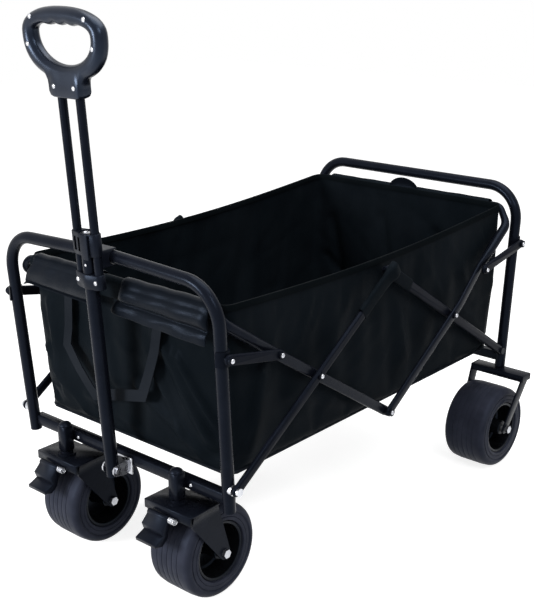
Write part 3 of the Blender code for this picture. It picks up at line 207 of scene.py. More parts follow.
PAINT = hard_material(
    "black_paint", "black_paint", PAINT_TONES, (0.22, 0.30), specular=0.065, grain=700.0, strength=0.04
)
BAR_PAINT = hard_material(
    "bar_paint", "black_paint", PAINT_TONES, (0.28, 0.36), specular=0.035, grain=700.0, strength=0.04
)
PLASTIC = hard_material(
    "black_plastic", "black_plastic", ((0.0030, 0.0037, 0.0062), (0.0048, 0.0057, 0.0092)), (0.32, 0.42),
    specular=0.09, grain=1500.0, strength=0.10,
)
GRIP_PLASTIC = hard_material(
    "grip_plastic", "black_plastic", ((0.0028, 0.0037, 0.0070), (0.0046, 0.0059, 0.0105)), (0.27, 0.35),
    specular=0.27, grain=1500.0, strength=0.08,
)
RUBBER = hard_material(
    "rubber", "rubber", ((0.0140, 0.0158, 0.0240), (0.0232, 0.0257, 0.0382)), (0.42, 0.54),
    specular=0.06, grain=900.0, strength=0.30,
)
HUB = hard_material(
    "hub_plastic", "hub_plastic", ((0.0020, 0.0023, 0.0030), (0.0034, 0.0038, 0.0048)), (0.24, 0.34),
    specular=0.10, grain=1300.0, strength=0.1,
)
ZINC = hard_material(
    "zinc_steel", "zinc_steel", ((0.36, 0.37, 0.40), (0.56, 0.57, 0.60)), (0.20, 0.36),
    specular=0.4, grain=500.0, strength=0.15, metallic=1.0,
)
CLOTH = cloth_material(
    "bag_cloth", ((0.0030, 0.0045, 0.0061), (0.0054, 0.0073, 0.0095)), (0.30, 0.42), 0.006
)
HEM_CLOTH = cloth_material(
    "hem_cloth", ((0.0028, 0.0039, 0.0060), (0.0048, 0.0062, 0.0090)), (0.24, 0.34), 0.045
)
# The binding's cloth is darker than the bag's: painted shade that holds back the top lamp's light along the bag's
# top edge.
SHADED_BINDING_CLOTH = cloth_material(
    "binding_cloth_painted_shade", ((0.0018, 0.0027, 0.0034), (0.0032, 0.0043, 0.0052)), (0.40, 0.52), 0.004
)
WEBBING = cloth_material(
    "webbing", ((0.0062, 0.0076, 0.0100), (0.0094, 0.0112, 0.0142)), (0.60, 0.74), 0.03, WEBBING_PITCH
)


# Looks of the carried-over solids, with smooth shading by edge angle

SMOOTH_LIMIT = math.radians(50.0)
SLOT_LOOKS = {look.slot: look for look in (PAINT, PLASTIC, RUBBER, HUB, ZINC, CLOTH)}
NODE_SLOT = {row["node"]: row["material_slot"] for row in frame["record"]["subparts"]}


def smooth_group():
    """Geometry nodes that weld a faceted solid and shade it smooth, with hard edges kept."""
    group = bpy.data.node_groups.new("smooth_by_angle", "GeometryNodeTree")
    group.interface.new_socket("Geometry", in_out="INPUT", socket_type="NodeSocketGeometry")
    group.interface.new_socket("Geometry", in_out="OUTPUT", socket_type="NodeSocketGeometry")
    source = group.nodes.new("NodeGroupInput")
    result = group.nodes.new("NodeGroupOutput")
    weld = add_node(group, "GeometryNodeMergeByDistance", {"Distance": WELD})
    faces = add_node(group, "GeometryNodeSetShadeSmooth", {"Shade Smooth": True}, domain="FACE")
    edges = add_node(group, "GeometryNodeSetShadeSmooth", {"Shade Smooth": False}, domain="EDGE")
    angle = group.nodes.new("GeometryNodeInputMeshEdgeAngle")
    limit = {"B": SMOOTH_LIMIT}
    hard = add_node(group, "FunctionNodeCompare", limit, data_type="FLOAT", operation="GREATER_THAN")
    group.links.new(source.outputs[0], weld.inputs["Geometry"])
    group.links.new(weld.outputs[0], faces.inputs["Geometry"])
    group.links.new(faces.outputs[0], edges.inputs["Geometry"])
    group.links.new(angle.outputs["Unsigned Angle"], hard.inputs["A"])
    group.links.new(hard.outputs["Result"], edges.inputs["Selection"])
    group.links.new(edges.outputs[0], result.inputs[0])
    return group


def dress_solids():
    """Material and smooth shading of every solid; the flat bars have a duller paint."""
    smooth = smooth_group()
    for name, solid in frame["nodes"].items():
        flat_bar = name.startswith("scissor_") or "_link_" in name
        look = BAR_PAINT if flat_bar else SLOT_LOOKS[NODE_SLOT[name]]
        solid.data.materials.clear()
        solid.data.materials.append(look.material)
        solid.modifiers.new("smooth", "NODES").node_group = smooth


# Making pieces

FLAT_SQUARENESS = 0.72  # how square the section of a flattened tube is
# Edges that turn by more than these degrees stay hard
SOFT_ANGLE = 60.0
GRIP_ANGLE = 55.0
TUBE_ANGLE = 50.0
HARD_ANGLE = 35.0


def finish_piece(made, look, body, smooth_angle):
    """Material, smooth shading and body of a finished mesh piece."""
    made.data.materials.clear()
    made.data.materials.append(look.material)
    made.data.shade_smooth()
    made.data.set_sharp_from_angle(angle=math.radians(smooth_angle))
    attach(made, body)
    return made


def new_object(name, body_mesh):
    """An object from a bmesh, linked to the scene."""
    mesh = bpy.data.meshes.new(name)
    bmesh.ops.recalc_face_normals(body_mesh, faces=body_mesh.faces)
    body_mesh.to_mesh(mesh)
    body_mesh.free()
    made = bpy.data.objects.new(name, mesh)
    bpy.context.scene.collection.objects.link(made)
    return made


def add_rows(body_mesh, rows, closed=False, ring=False, caps=False):
    """Quads between rows of points; gives the rows' vertices.

    closed joins the ends of each row, ring joins the last row to the first, caps fill both end rows.
    """
    rows = [[body_mesh.verts.new(point) for point in row] for row in rows]
    for lower, upper in zip(rows, rows[1:] + rows[:1] if ring else rows[1:]):
        for k in range(len(lower) if closed else len(lower) - 1):
            n = (k + 1) % len(lower)
            body_mesh.faces.new((lower[k], lower[n], upper[n], upper[k]))
    if caps:
        body_mesh.faces.new(rows[0])
        body_mesh.faces.new(rows[-1])
    return rows


def surface(name, rows, **joins):
    """An object from rows of points, joined as add_rows says."""
    body_mesh = bmesh.new()
    add_rows(body_mesh, rows, **joins)
    return new_object(name, body_mesh)


def apply_modifiers(made):
    """Replace a piece's mesh by what its modifiers make of it."""
    bpy.context.view_layer.update()
    graph = bpy.context.evaluated_depsgraph_get()
    mesh = bpy.data.meshes.new_from_object(made.evaluated_get(graph))
    made.modifiers.clear()
    made.data = mesh


def thicken(made, thickness, levels=0):
    """Give an open sheet its thickness to both sides, and round it by subdivision."""
    solid = made.modifiers.new("thickness", "SOLIDIFY")
    solid.thickness = thickness
    solid.offset = 0.0
    if levels:
        rounder = made.modifiers.new("round", "SUBSURF")
        rounder.levels = levels
        rounder.render_levels = levels
    apply_modifiers(made)


def cloth_piece(name, rows, thickness, look, body, closed=False, levels=0, smooth_angle=SOFT_ANGLE):
    """A finished piece of cloth from rows of points."""
    made = surface(name, rows, closed=closed)
    thicken(made, thickness, levels)
    return finish_piece(made, look, body, smooth_angle)


def tube(name, points, sizes, sides, side=None, closed=False):
    """A tube along points; sizes gives each section's half sizes towards side and across it."""
    count = len(points)
    rows = []
    for k, point in enumerate(points):
        before = points[(k - 1) % count] if closed or k else point
        after = points[(k + 1) % count] if closed or k < count - 1 else point
        along = (after - before).normalized()
        if side is None:
            side = along.orthogonal()
        side = (side - along * side.dot(along)).normalized()
        up = along.cross(side)
        thick, wide = sizes[k]
        power = mix(FLAT_SQUARENESS, 1.0, ramp(thick / wide, 0.6, 1.0))
        row = []
        for turn in turns(sides):
            u = signed_power(math.cos(turn), power) * thick
            v = signed_power(math.sin(turn), power) * wide
            row.append(point + side * u + up * v)
        rows.append(row)
    return surface(name, rows, closed=True, ring=closed, caps=not closed)


def round_tube(name, points, radius, sides, closed=False):
    """A tube of one radius."""
    return tube(name, points, [(radius, radius)] * len(points), sides, closed=closed)


def lathe(name, profile, centre, steps):
    """A turned body about X through centre, from a closed profile of (radius, x) points."""
    rows = []
    for radius, x in profile:
        ring = [Vector((x, radius * math.cos(turn), radius * math.sin(turn))) for turn in turns(steps)]
        rows.append([centre + point for point in ring])
    return surface(name, rows, closed=True, ring=True)


def even_steps(points, count):
    """A polyline walked in equal steps."""
    lengths = [0.0]
    for a, b in zip(points, points[1:]):
        lengths.append(lengths[-1] + (b - a).length)
    walked = []
    piece = 0
    for step in range(count):
        goal = lengths[-1] * step / (count - 1)
        while piece < len(points) - 2 and lengths[piece + 1] < goal:
            piece += 1
        share = (goal - lengths[piece]) / (lengths[piece + 1] - lengths[piece])
        walked.append(points[piece].lerp(points[piece + 1], share))
    return walked


def bent(points, radii, steps=14):
    """A polyline whose inner corners are replaced by arcs of the given radii."""
    path = [points[0]]
    for before, corner, after, radius in zip(points, points[1:], points[2:], radii):
        arrive = (corner - before).normalized()
        leave = (after - corner).normalized()
        turn = arrive.angle(leave)
        reach = radius * math.tan(turn / 2)
        centre = corner + (leave - arrive).normalized() * (radius / math.cos(turn / 2))
        start = corner - arrive * reach - centre
        axis = arrive.cross(leave).normalized()
        for step in range(steps + 1):
            path.append(centre + Matrix.Rotation(turn * step / steps, 3, axis) @ start)
    return path + [points[-1]]


# Cloth bag: one sewn shell that hangs from the rim

BAG_TOP_HALF_X = 0.2465
BAG_FLOOR_HALF_X = 0.2365
BAG_ROD_IN = 0.0125  # the bag's end edges lie this far inside the rim rods
BAG_LEAN = 0.014
BAG_FRONT_TOP = 0.556
BAG_REAR_TOP = 0.569
BAG_SAG = 0.016
BAG_FLOOR_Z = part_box("bag_floor")[0].z
BAG_CORNER_R = 0.018
BAG_BULGE = 0.003
BAG_COLUMNS_X = 60
BAG_COLUMNS_Y = 100
BAG_ROWS = 40
CLOTH_T = 0.0014
SIM_FRAMES = 24
SIM_SETTINGS = {
    "quality": 6, "mass": 0.25, "tension_stiffness": 14.0, "compression_stiffness": 14.0,
    "shear_stiffness": 6.0, "bending_stiffness": 6.0, "air_damping": 2.0, "shrink_min": -0.006,
}
SIM_CAP = 0.014  # longest move of a point, and its longest move outwards
SIM_CAP_OUT = 0.007
WALL_LIMIT_X = 0.2600  # folds of the side walls stop short of the bars
ROD_PRESS_X = 0.2485  # the rim loops hold the side walls in here
ROD_PRESS_Y = 0.318
ROD_PRESS_Z = 0.450
FOLD_SWELL = 0.005
FOLD_RIDGE = 0.002
FOLD_CRINKLE = 0.0014
CRINKLE_DEPTH = 0.22  # crinkles fade over this share of the wall's height
SIDE_FROM_X = BAG_FLOOR_HALF_X - 0.006
BINDING_H = 0.009
BINDING_GAP = 0.0024
BINDING_RISE = 0.0016
BINDING_EDGE = -0.001
BINDING_T = 0.0012
PIPING_R = 0.0034
# Creases of the walls: start and end on the wall (across, up), half width and height
SIDE_CREASES = (
    ((-0.300, 0.440), (-0.335, 0.290), 0.017, 0.018), ((-0.250, 0.525), (-0.300, 0.430), 0.010, 0.007),
    ((-0.170, 0.530), (-0.215, 0.455), 0.007, 0.006), ((-0.140, 0.530), (-0.175, 0.470), 0.006, 0.006),
    ((-0.060, 0.515), (-0.130, 0.400), 0.012, 0.004), ((-0.240, 0.360), (-0.080, 0.290), 0.012, 0.005),
    ((0.060, 0.480), (0.110, 0.330), 0.014, 0.005), ((0.160, 0.520), (0.220, 0.430), 0.009, 0.004),
    ((0.250, 0.530), (0.330, 0.400), 0.012, 0.006), ((0.300, 0.380), (0.400, 0.290), 0.011, 0.005),
    ((0.365, 0.530), (0.395, 0.440), 0.008, 0.005),
)
FAR_CREASES = (
    ((-0.080, 0.530), (-0.115, 0.300), 0.026, 0.009), ((0.060, 0.530), (0.020, 0.300), 0.020, 0.008),
    ((-0.230, 0.520), (-0.270, 0.330), 0.022, 0.008), ((0.210, 0.530), (0.160, 0.320), 0.023, 0.009),
    ((-0.020, 0.500), (-0.050, 0.380), 0.009, 0.005), ((0.330, 0.530), (0.300, 0.330), 0.016, 0.007),
)
END_CREASES = (
    ((0.085, 0.480), (0.205, 0.300), 0.011, 0.013), ((0.130, 0.450), (0.215, 0.340), 0.007, 0.010),
    ((0.030, 0.370), (0.180, 0.280), 0.010, 0.012), ((0.070, 0.420), (0.140, 0.300), 0.007, 0.009),
    ((-0.200, 0.470), (-0.165, 0.300), 0.012, 0.011), ((-0.110, 0.310), (0.030, 0.280), 0.009, 0.009),
    ((-0.060, 0.500), (-0.030, 0.360), 0.009, 0.007), ((-0.215, 0.380), (-0.120, 0.280), 0.008, 0.010),
)


def ring_cells():
    """Walks round the edge of the floor grid: (column, row) from the front left corner."""
    walk = [(i, 0) for i in range(BAG_COLUMNS_X)]
    walk += [(BAG_COLUMNS_X, j) for j in range(BAG_COLUMNS_Y)]
    walk += [(i, BAG_COLUMNS_Y) for i in range(BAG_COLUMNS_X, 0, -1)]
    walk += [(0, j) for j in range(BAG_COLUMNS_Y, 0, -1)]
    return walk


def bag_point(cell, depth):
    """A point of the taut bag; depth runs from 0 at the rim to 1 at the floor."""
    half_x = mix(BAG_TOP_HALF_X, BAG_FLOOR_HALF_X, depth) + BAG_BULGE * math.sin(math.pi * depth)
    front = FRONT_ROD_Y + BAG_ROD_IN + BAG_LEAN * depth
    rear = REAR_ROD_Y - BAG_ROD_IN - BAG_LEAN * depth
    share_y = cell[1] / BAG_COLUMNS_Y
    x = mix(-half_x, half_x, cell[0] / BAG_COLUMNS_X)
    y = mix(front, rear, share_y)
    inner_y = max(front + BAG_CORNER_R, min(rear - BAG_CORNER_R, y))
    inner = Vector((within(x, half_x - BAG_CORNER_R), inner_y))
    out = Vector((x, y)) - inner
    if out.length > BAG_CORNER_R:
        x, y = inner + out.normalized() * BAG_CORNER_R
    top = mix(BAG_FRONT_TOP, BAG_REAR_TOP, share_y) - BAG_SAG * math.sin(math.pi * share_y)
    return Vector((x, y, mix(top, BAG_FLOOR_Z, depth)))


def hang_cloth(made, held):
    """Let the slack walls settle by cloth simulation, with the held points pinned."""
    made.vertex_groups.new(name="held").add(held, 1.0, "REPLACE")
    cloth = made.modifiers.new("cloth", "CLOTH")
    for key, value in SIM_SETTINGS.items():
        setattr(cloth.settings, key, value)
    cloth.settings.vertex_group_mass = "held"
    cloth.collision_settings.use_collision = False
    cloth.point_cache.frame_start = 1
    cloth.point_cache.frame_end = SIM_FRAMES
    scene = bpy.context.scene
    for step in range(1, SIM_FRAMES + 1):
        scene.frame_set(step)
    rest = [v.co.copy() for v in made.data.vertices]
    graph = bpy.context.evaluated_depsgraph_get()
    settled = [v.co.copy() for v in made.evaluated_get(graph).data.vertices]
    made.modifiers.remove(cloth)
    scene.frame_set(1)
    for vertex, start, end in zip(made.data.vertices, rest, settled):
        move = end - start
        if move.length > SIM_CAP:
            move = move.normalized() * SIM_CAP
        place = start + move
        place.x = within(place.x, abs(start.x) + SIM_CAP_OUT)
        place.z = max(place.z, BAG_FLOOR_Z)
        vertex.co = place


def drawn_creases(point):
    """Height of the drawn creases at a point of a wall."""
    on_side = abs(point.x) > SIDE_FROM_X
    spot = Vector((point.y if on_side else point.x, point.z))
    creases = END_CREASES
    if on_side:
        creases = SIDE_CREASES if point.x > 0 else FAR_CREASES
    drawn = 0.0
    for start, end, width, height in creases:
        run = Vector(end) - Vector(start)
        share = ramp((spot - Vector(start)).dot(run), 0.0, run.length_squared)
        away = (spot - Vector(start) - run * share).length
        drawn += height * math.exp(-(away / width) ** 2)
    return drawn


def fold_depth(point, depth):
    """How far a wall stands out at a point: swells, drawn creases, and crinkles under the rim.

    The factors in the noise are waves per metre.
    """
    x, y, z = point
    swell = noise.noise(Vector((x * 6.0, y * 5.0 + z * 5.0, z * 2.0)))
    slant = noise.noise(Vector((x * 9.0 + z * 7.0, y * 8.0 - z * 9.0, 4.0)))
    ridge = (1.0 - min(1.0, abs(slant) * 3.5)) ** 2
    crinkle = noise.noise(Vector((x * 46.0, y * 46.0, z * 14.0)))
    broad = FOLD_SWELL * swell + FOLD_RIDGE * ridge + drawn_creases(point)
    fade = math.exp(-depth / CRINKLE_DEPTH)
    return broad * math.sin(math.pi * depth) ** 0.7 + FOLD_CRINKLE * crinkle * fade


def bag():
    """The whole bag as one thin shell, four walls and the floor; also gives its area."""
    cells = ring_cells()
    body_mesh = bmesh.new()
    walls = [[bag_point(cell, row / BAG_ROWS) for cell in cells] for row in range(BAG_ROWS + 1)]
    floor = dict(zip(cells, add_rows(body_mesh, walls, closed=True)[-1]))
    for i in range(1, BAG_COLUMNS_X):
        for j in range(1, BAG_COLUMNS_Y):
            floor[(i, j)] = body_mesh.verts.new(bag_point((i, j), 1.0))
    for i in range(BAG_COLUMNS_X):
        for j in range(BAG_COLUMNS_Y):
            corners = ((i, j), (i + 1, j), (i + 1, j + 1), (i, j + 1))
            body_mesh.faces.new([floor[corner] for corner in corners])
    made = new_object("bag_shell", body_mesh)
    count = len(cells)
    held = list(range(2 * count)) + list(range(BAG_ROWS * count, len(made.data.vertices)))
    hang_cloth(made, held)
    middle = Vector((0.0, MID_Y, 0.0))
    for index in range((BAG_ROWS + 1) * count):
        vertex = made.data.vertices[index]
        out = vertex.co - middle
        out.z = 0.0
        vertex.co += out.normalized() * fold_depth(vertex.co, (index // count) / BAG_ROWS)
        pressed = abs(vertex.co.y - MID_Y) > ROD_PRESS_Y and vertex.co.z > ROD_PRESS_Z
        vertex.co.x = within(vertex.co.x, ROD_PRESS_X if pressed else WALL_LIMIT_X)
    area = sum(face.area for face in made.data.polygons)
    thicken(made, CLOTH_T)
    finish_piece(made, CLOTH, "bag", SOFT_ANGLE)
    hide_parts("bag_floor", "bag_front_wall", "bag_rear_wall", "bag_side_left", "bag_side_right")
    return made, area


def top_binding():
    """The folded binding over the bag's top edge, in cloth darkened with painted shade."""
    half = [(BINDING_GAP, -BINDING_H), (BINDING_GAP, BINDING_EDGE), (BINDING_GAP / 2, BINDING_RISE)]
    section = half + [(-offset, rise) for offset, rise in reversed(half)]
    ring = [bag_point(cell, 0.0) for cell in ring_cells()]
    rows = [[] for _ in section]
    for k, point in enumerate(ring):
        along = ring[(k + 1) % len(ring)] - ring[k - 1]
        out = Vector((along.y, -along.x, 0.0)).normalized()
        for row, (offset, rise) in zip(rows, section):
            row.append(point + out * offset + Vector((0.0, 0.0, rise)))
    return cloth_piece(
        "bag_top_binding", rows, BINDING_T, SHADED_BINDING_CLOTH, "bag", closed=True, smooth_angle=TUBE_ANGLE
    )


def bottom_piping():
    """Round piping in the seam between the walls and the floor."""
    ring = [bag_point(cell, 1.0) for cell in ring_cells()]
    made = round_tube("bag_bottom_piping", ring[::2], PIPING_R, 10, closed=True)
    return finish_piece(made, WEBBING, "bag", SOFT_ANGLE)


# Hems, flaps and tab over the rim rods

ROD_STRAIGHT = 0.214  # the front rim rod is straight up to here
ROD_BACK = 6.0  # then it bends back and down with the square of the distance
ROD_DOWN = 13.0
FRONT_HEM_T = 0.0020
REAR_HEM_T = 0.0022
FRONT_HEM_REACH = 0.222
FRONT_HEM_R = RIM_R + 0.0028
FRONT_HEM_INSIDE = (-0.022, -0.010)  # heights of a hem's points on the rod's inner side
FRONT_HEM_OUTSIDE = (-0.012, -0.026)
FRONT_HEM_TUCK = 0.001
FRONT_HEM_RIPPLE = 0.0010
REAR_HEM_REACH = 0.212
REAR_HEM_R = RIM_R + 0.004
REAR_HEM_FALL = 0.026
REAR_HEM_INSIDE = (-0.018, -0.007)
REAR_HEM_RIPPLE = 0.0012
FLAP_R = RIM_R + 0.0068
FLAP_PINCH = 0.016  # the flaps are pinched flat over this length at their ends
FLAP_SHORT = 0.90  # their pinched ends fall by this share of the rest
FLAP_INSIDE = (-0.012, -0.005)
FLAP_RIPPLE = 0.0020
FLAP_ROLL = 0.006  # how far the roll and the hanging band stand out
FLAP_BAND = 0.004
FLAP_KICK = 0.002
FLAP_WRINKLE = 0.0030
SEAM_DEPTH = 0.0022
SEAM_SPREAD = 0.05  # share of the fall
FLAP_STEPS = 18
# Flaps: ends in x at the top and at the lower edge, fall at both ends, the seam's share of the fall
FLAPS = {
    "left": ((-0.2075, -0.030), (-0.243, -0.030), (0.040, 0.046), 0.96),
    "right": ((0.030, 0.2330), (0.009, 0.2310), (0.048, 0.058), 0.55),
}
TAB_ENDS = (-0.046, 0.035)
TAB_H = 0.030
TAB_FOOT = 0.006
TAB_IN = 0.012
TAB_EDGE = 0.001
TAB_BOW = 0.004
TAB_TIP = 0.003


def front_rod(x):
    """The front rim rod's axis at x: straight, then bending down and back at its ends."""
    past = max(0.0, abs(x) - ROD_STRAIGHT)
    return Vector((x, FRONT_ROD_Y + ROD_BACK * past * past, FRONT_ROD_Z - ROD_DOWN * past * past))


def rear_rod(x):
    """The rear rim rod's axis at x."""
    return Vector((x, REAR_ROD_Y, REAR_ROD_Z))


RIM_RODS = {"front": (front_rod, -1.0, FRONT_HEM_T), "rear": (rear_rod, 1.0, REAR_HEM_T)}


def over_rod(name, end, columns, place, look):
    """A sheet over a rim rod: place gives each point's x, its reach outside the rod and its rise."""
    rod, facing, thickness = RIM_RODS[end]
    rows = []
    for column in range(columns + 1):
        row = place(column / columns)
        rows.append([rod(x) + Vector((0.0, facing * reach, rise)) for x, reach, rise in row])
    return cloth_piece(name, rows, thickness, look, f"{end}_rim_loop", levels=1)


def wrapped(x, radius, inside, loose, steps):
    """Points over a rod at x: up its inner side, then over the top to its outer side."""
    angles = [math.pi * step / steps for step in range(steps + 1)]
    over = [(x, -math.cos(angle) * loose, math.sin(angle) * loose) for angle in angles]
    return [(x, -radius, rise) for rise in inside] + over


def front_hem():
    """The bag's own hem, wrapped closely round the front rod."""
    def place(share):
        x = mix(-FRONT_HEM_REACH, FRONT_HEM_REACH, share)
        loose = FRONT_HEM_R + FRONT_HEM_RIPPLE * noise.noise(Vector((x * 40.0, 1.0, 2.0)))
        upper, lower = FRONT_HEM_OUTSIDE
        outside = [(x, loose, upper), (x, FRONT_HEM_R - FRONT_HEM_TUCK, lower)]
        return wrapped(x, FRONT_HEM_R, FRONT_HEM_INSIDE, loose, 8) + outside

    return over_rod("front_hem", "front", 70, place, CLOTH)


def hem_flap(label):
    """A padded flap over the front hem: a rolled upper part, a sewn line and a hanging lower band."""
    top, bottom, drop, seam = FLAPS[label]

    def stand_out(x, down, pinch):
        """How far the flap stands off the hem at a share of its fall."""
        if down < seam:
            stand = FLAP_ROLL * pinch * math.sin(math.pi * down / seam) ** 0.8
        else:
            lower = (down - seam) / (1.0 - seam)
            stand = FLAP_BAND * math.sin(math.pi * min(1.0, lower * 1.3) / 1.6) + FLAP_KICK * lower
        wrinkle = noise.noise(Vector((x * 16.0 + down * 2.0, down * 1.6, top[0] * 30.0)))
        stitch = SEAM_DEPTH * math.exp(-((down - seam) / SEAM_SPREAD) ** 2)
        return stand + FLAP_WRINKLE * wrinkle * math.sqrt(down) - stitch

    def place(share):
        to_end = min(share, 1.0 - share) * (bottom[1] - bottom[0])
        pinch = math.sqrt(max(0.0, 1.0 - (1.0 - min(1.0, to_end / FLAP_PINCH)) ** 2))
        loose = FLAP_R + FLAP_RIPPLE * noise.noise(Vector((share * 4.5, top[0] * 10.0, 5.0)))
        start = mix(*top, share)
        fall = mix(*drop, share) * mix(FLAP_SHORT, 1.0, pinch)
        row = wrapped(start, FLAP_R, FLAP_INSIDE, loose, 10)
        for step in range(1, FLAP_STEPS + 1):
            down = step / FLAP_STEPS
            x = mix(start, mix(*bottom, share), down)
            row.append((x, loose + stand_out(x, down, pinch), -fall * down))
        return row

    return over_rod(f"front_flap_{label}", "front", 72, place, HEM_CLOTH)


def rear_hem():
    """The sleeve of the rear edge over the rear rod."""
    def place(share):
        x = mix(-REAR_HEM_REACH, REAR_HEM_REACH, share)
        loose = REAR_HEM_R + REAR_HEM_RIPPLE * noise.noise(Vector((x * 26.0, 11.0, 0.0)))
        outside = [(x, loose, -REAR_HEM_FALL * step / 5) for step in range(1, 6)]
        return wrapped(x, REAR_HEM_R, REAR_HEM_INSIDE, loose, 10) + outside

    return over_rod("rear_hem", "rear", 40, place, CLOTH)


def rear_tab():
    """The rounded cloth tab that stands up from the rear rim."""
    def place(share):
        x = mix(*TAB_ENDS, share)
        height = TAB_H * math.sqrt(max(0.0, 1.0 - (2.0 * share - 1.0) ** 2)) + TAB_EDGE
        row = []
        for step in range(9):
            rise = step / 8
            bow = TAB_BOW * math.sin(math.pi * rise) + TAB_TIP * rise
            row.append((x, bow - TAB_IN, (height + TAB_FOOT) * rise - TAB_FOOT))
        return row

    made = over_rod("rear_tab", "rear", 24, place, HEM_CLOTH)


# Webbing pull loop and bar sleeves

STRAP_W = 0.021
STRAP_T = 0.0018
MITRE_LIMIT = 0.55  # keeps the strap's corners from growing too wide
LOOP_OFF = 0.010  # the loop's ends lie this far outside the bag's front edge
# Route of the loop: across, out from its ends, up
LOOP_ROUTE = (
    (-0.132, 0.0, 0.512), (-0.138, 0.0, 0.440), (-0.143, 0.002, 0.406), (-0.104, 0.009, 0.370),
    (-0.060, 0.013, 0.333), (-0.020, 0.014, 0.344), (0.066, 0.012, 0.364), (0.076, 0.008, 0.395),
    (0.092, 0.003, 0.450), (0.102, 0.0, 0.512),
)
SLEEVE_HALF_T = 0.0048
SLEEVE_HALF_W = 0.0122
SLEEVE_T = 0.0006
SLEEVE_SQUARENESS = (0.45, 0.6)  # across the bar and through it
SLEEVE_ROUGH = 0.10  # share of its width by which a sleeve varies
SLEEVE_PAST = 0.012  # a sleeve starts this far before its bar's pivot
SLEEVE_COVER = 0.0058  # the front sleeves stand out by this over their bolts
BOLT_SPREAD = 0.014
FRONT_SLEEVE_L = 0.120
REAR_SLEEVE_L = 0.066
REAR_SLEEVE_FROM = 0.030  # the rear sleeves start lower on their bars


def front_loop():
    """The pull loop on the bag's front wall, folded flat at its corners; also gives its length."""
    wall = FRONT_ROD_Y + BAG_ROD_IN - LOOP_OFF
    route = [Vector((x, wall - out, z)) for x, out, z in LOOP_ROUTE]
    rows = []
    for k, point in enumerate(route):
        before = (point - route[max(k - 1, 0)]).normalized()
        after = (route[min(k + 1, len(route) - 1)] - point).normalized()
        turn = before.angle(after) if 0 < k < len(route) - 1 else 0.0
        across = (before + after).normalized().cross(Vector((0.0, -1.0, 0.0))).normalized()
        width = STRAP_W / max(MITRE_LIMIT, math.cos(turn / 2))
        rows.append([point + across * width * share for share in (-0.5, -0.25, 0.0, 0.25, 0.5)])
    made = cloth_piece("front_pull_loop", rows, STRAP_T, WEBBING, "bag", smooth_angle=TUBE_ANGLE)
    return made, sum((b - a).length for a, b in zip(route, route[1:]))


def bar_sleeve(name, node, start, heading, x, length, cover):
    """A cloth sleeve sewn to the bag, pulled over the upper end of a flat bar.

    heading runs down the bar from its pivot; the sleeve stands out by cover where it hides the bolt.
    """
    over = heading.cross(X_AXIS)
    steps = 26
    rows = []
    for k in range(steps + 1):
        share = k / steps
        down = share * length - SLEEVE_PAST
        bolt = math.exp(-(down / BOLT_SPREAD) ** 2)
        wide = SLEEVE_HALF_W + 0.5 * cover * bolt
        row = []
        for turn in turns(28):
            c, s = math.cos(turn), math.sin(turn)
            u = signed_power(c, SLEEVE_SQUARENESS[0]) * wide
            v = signed_power(s, SLEEVE_SQUARENESS[1])
            v *= SLEEVE_HALF_T + cover * bolt if v * x > 0 else SLEEVE_HALF_T
            rough = 1.0 + SLEEVE_ROUGH * noise.noise(Vector((share * 7.0, c * 2.0, s * 2.0 + x)))
            row.append(start + heading * down + over * u * rough + X_AXIS * (x + v))
        rows.append(row)
    made = cloth_piece(name, rows, SLEEVE_T, CLOTH, node, closed=True)


def apex_sleeves():
    """Sleeves over the scissor's upper ends, on both sides."""
    pivot = Vector((0.0, *JOINTS["top_middle_right"].yz))
    ahead = -BAR_RUN
    back = Vector((0.0, BAR_RUN.y, -BAR_RUN.z))
    low = pivot + back * REAR_SLEEVE_FROM
    for label, side in SIDES.items():
        front, rear = f"scissor_front_{label}", f"scissor_rear_{label}"
        name = f"front_bar_sleeve_{label}"
        bar_sleeve(name, front, pivot, ahead, side * OUTER_X, FRONT_SLEEVE_L, SLEEVE_COVER)
        bar_sleeve(f"rear_bar_sleeve_{label}", rear, low, back, side * INNER_X, REAR_SLEEVE_L, 0.0)


# End frames as smooth bent tubes

TUBE_R = 0.011
TOP_BAR_Z = 0.599
TOP_HALF_X = 0.265
TOP_HALF_Y = 0.457
FOOT_Z = 0.2058
FOOT_HALF_X = 0.257
FOOT_HALF_Y = 0.4327
CORNER_R = 0.068
FRONT_ARCH = 0.010  # rise of the front top bar's middle
ARCH_R = 0.30


def end_frames():
    """Both inverted-U tubes."""
    for end, facing, arch in (("front", -1.0, FRONT_ARCH), ("rear", 1.0, 0.0)):
        foot = Vector((FOOT_HALF_X, MID_Y + facing * FOOT_HALF_Y, FOOT_Z))
        corner = Vector((TOP_HALF_X, MID_Y + facing * TOP_HALF_Y, TOP_BAR_Z))
        points, radii = [foot, corner], [CORNER_R]
        if arch:
            points.append(Vector((0.0, corner.y, TOP_BAR_Z + arch)))
            radii.append(ARCH_R)
        points += [corner * MIRROR, foot * MIRROR]
        radii.append(CORNER_R)
        made = round_tube(f"{end}_frame_skin", bent(points, radii), TUBE_R, 32)
        finish_piece(made, PAINT, f"{end}_frame", TUBE_ANGLE)
        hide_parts(f"{end}_frame")


# Rim loops: bent tubes, flat where they are pinned and round where they carry the bag

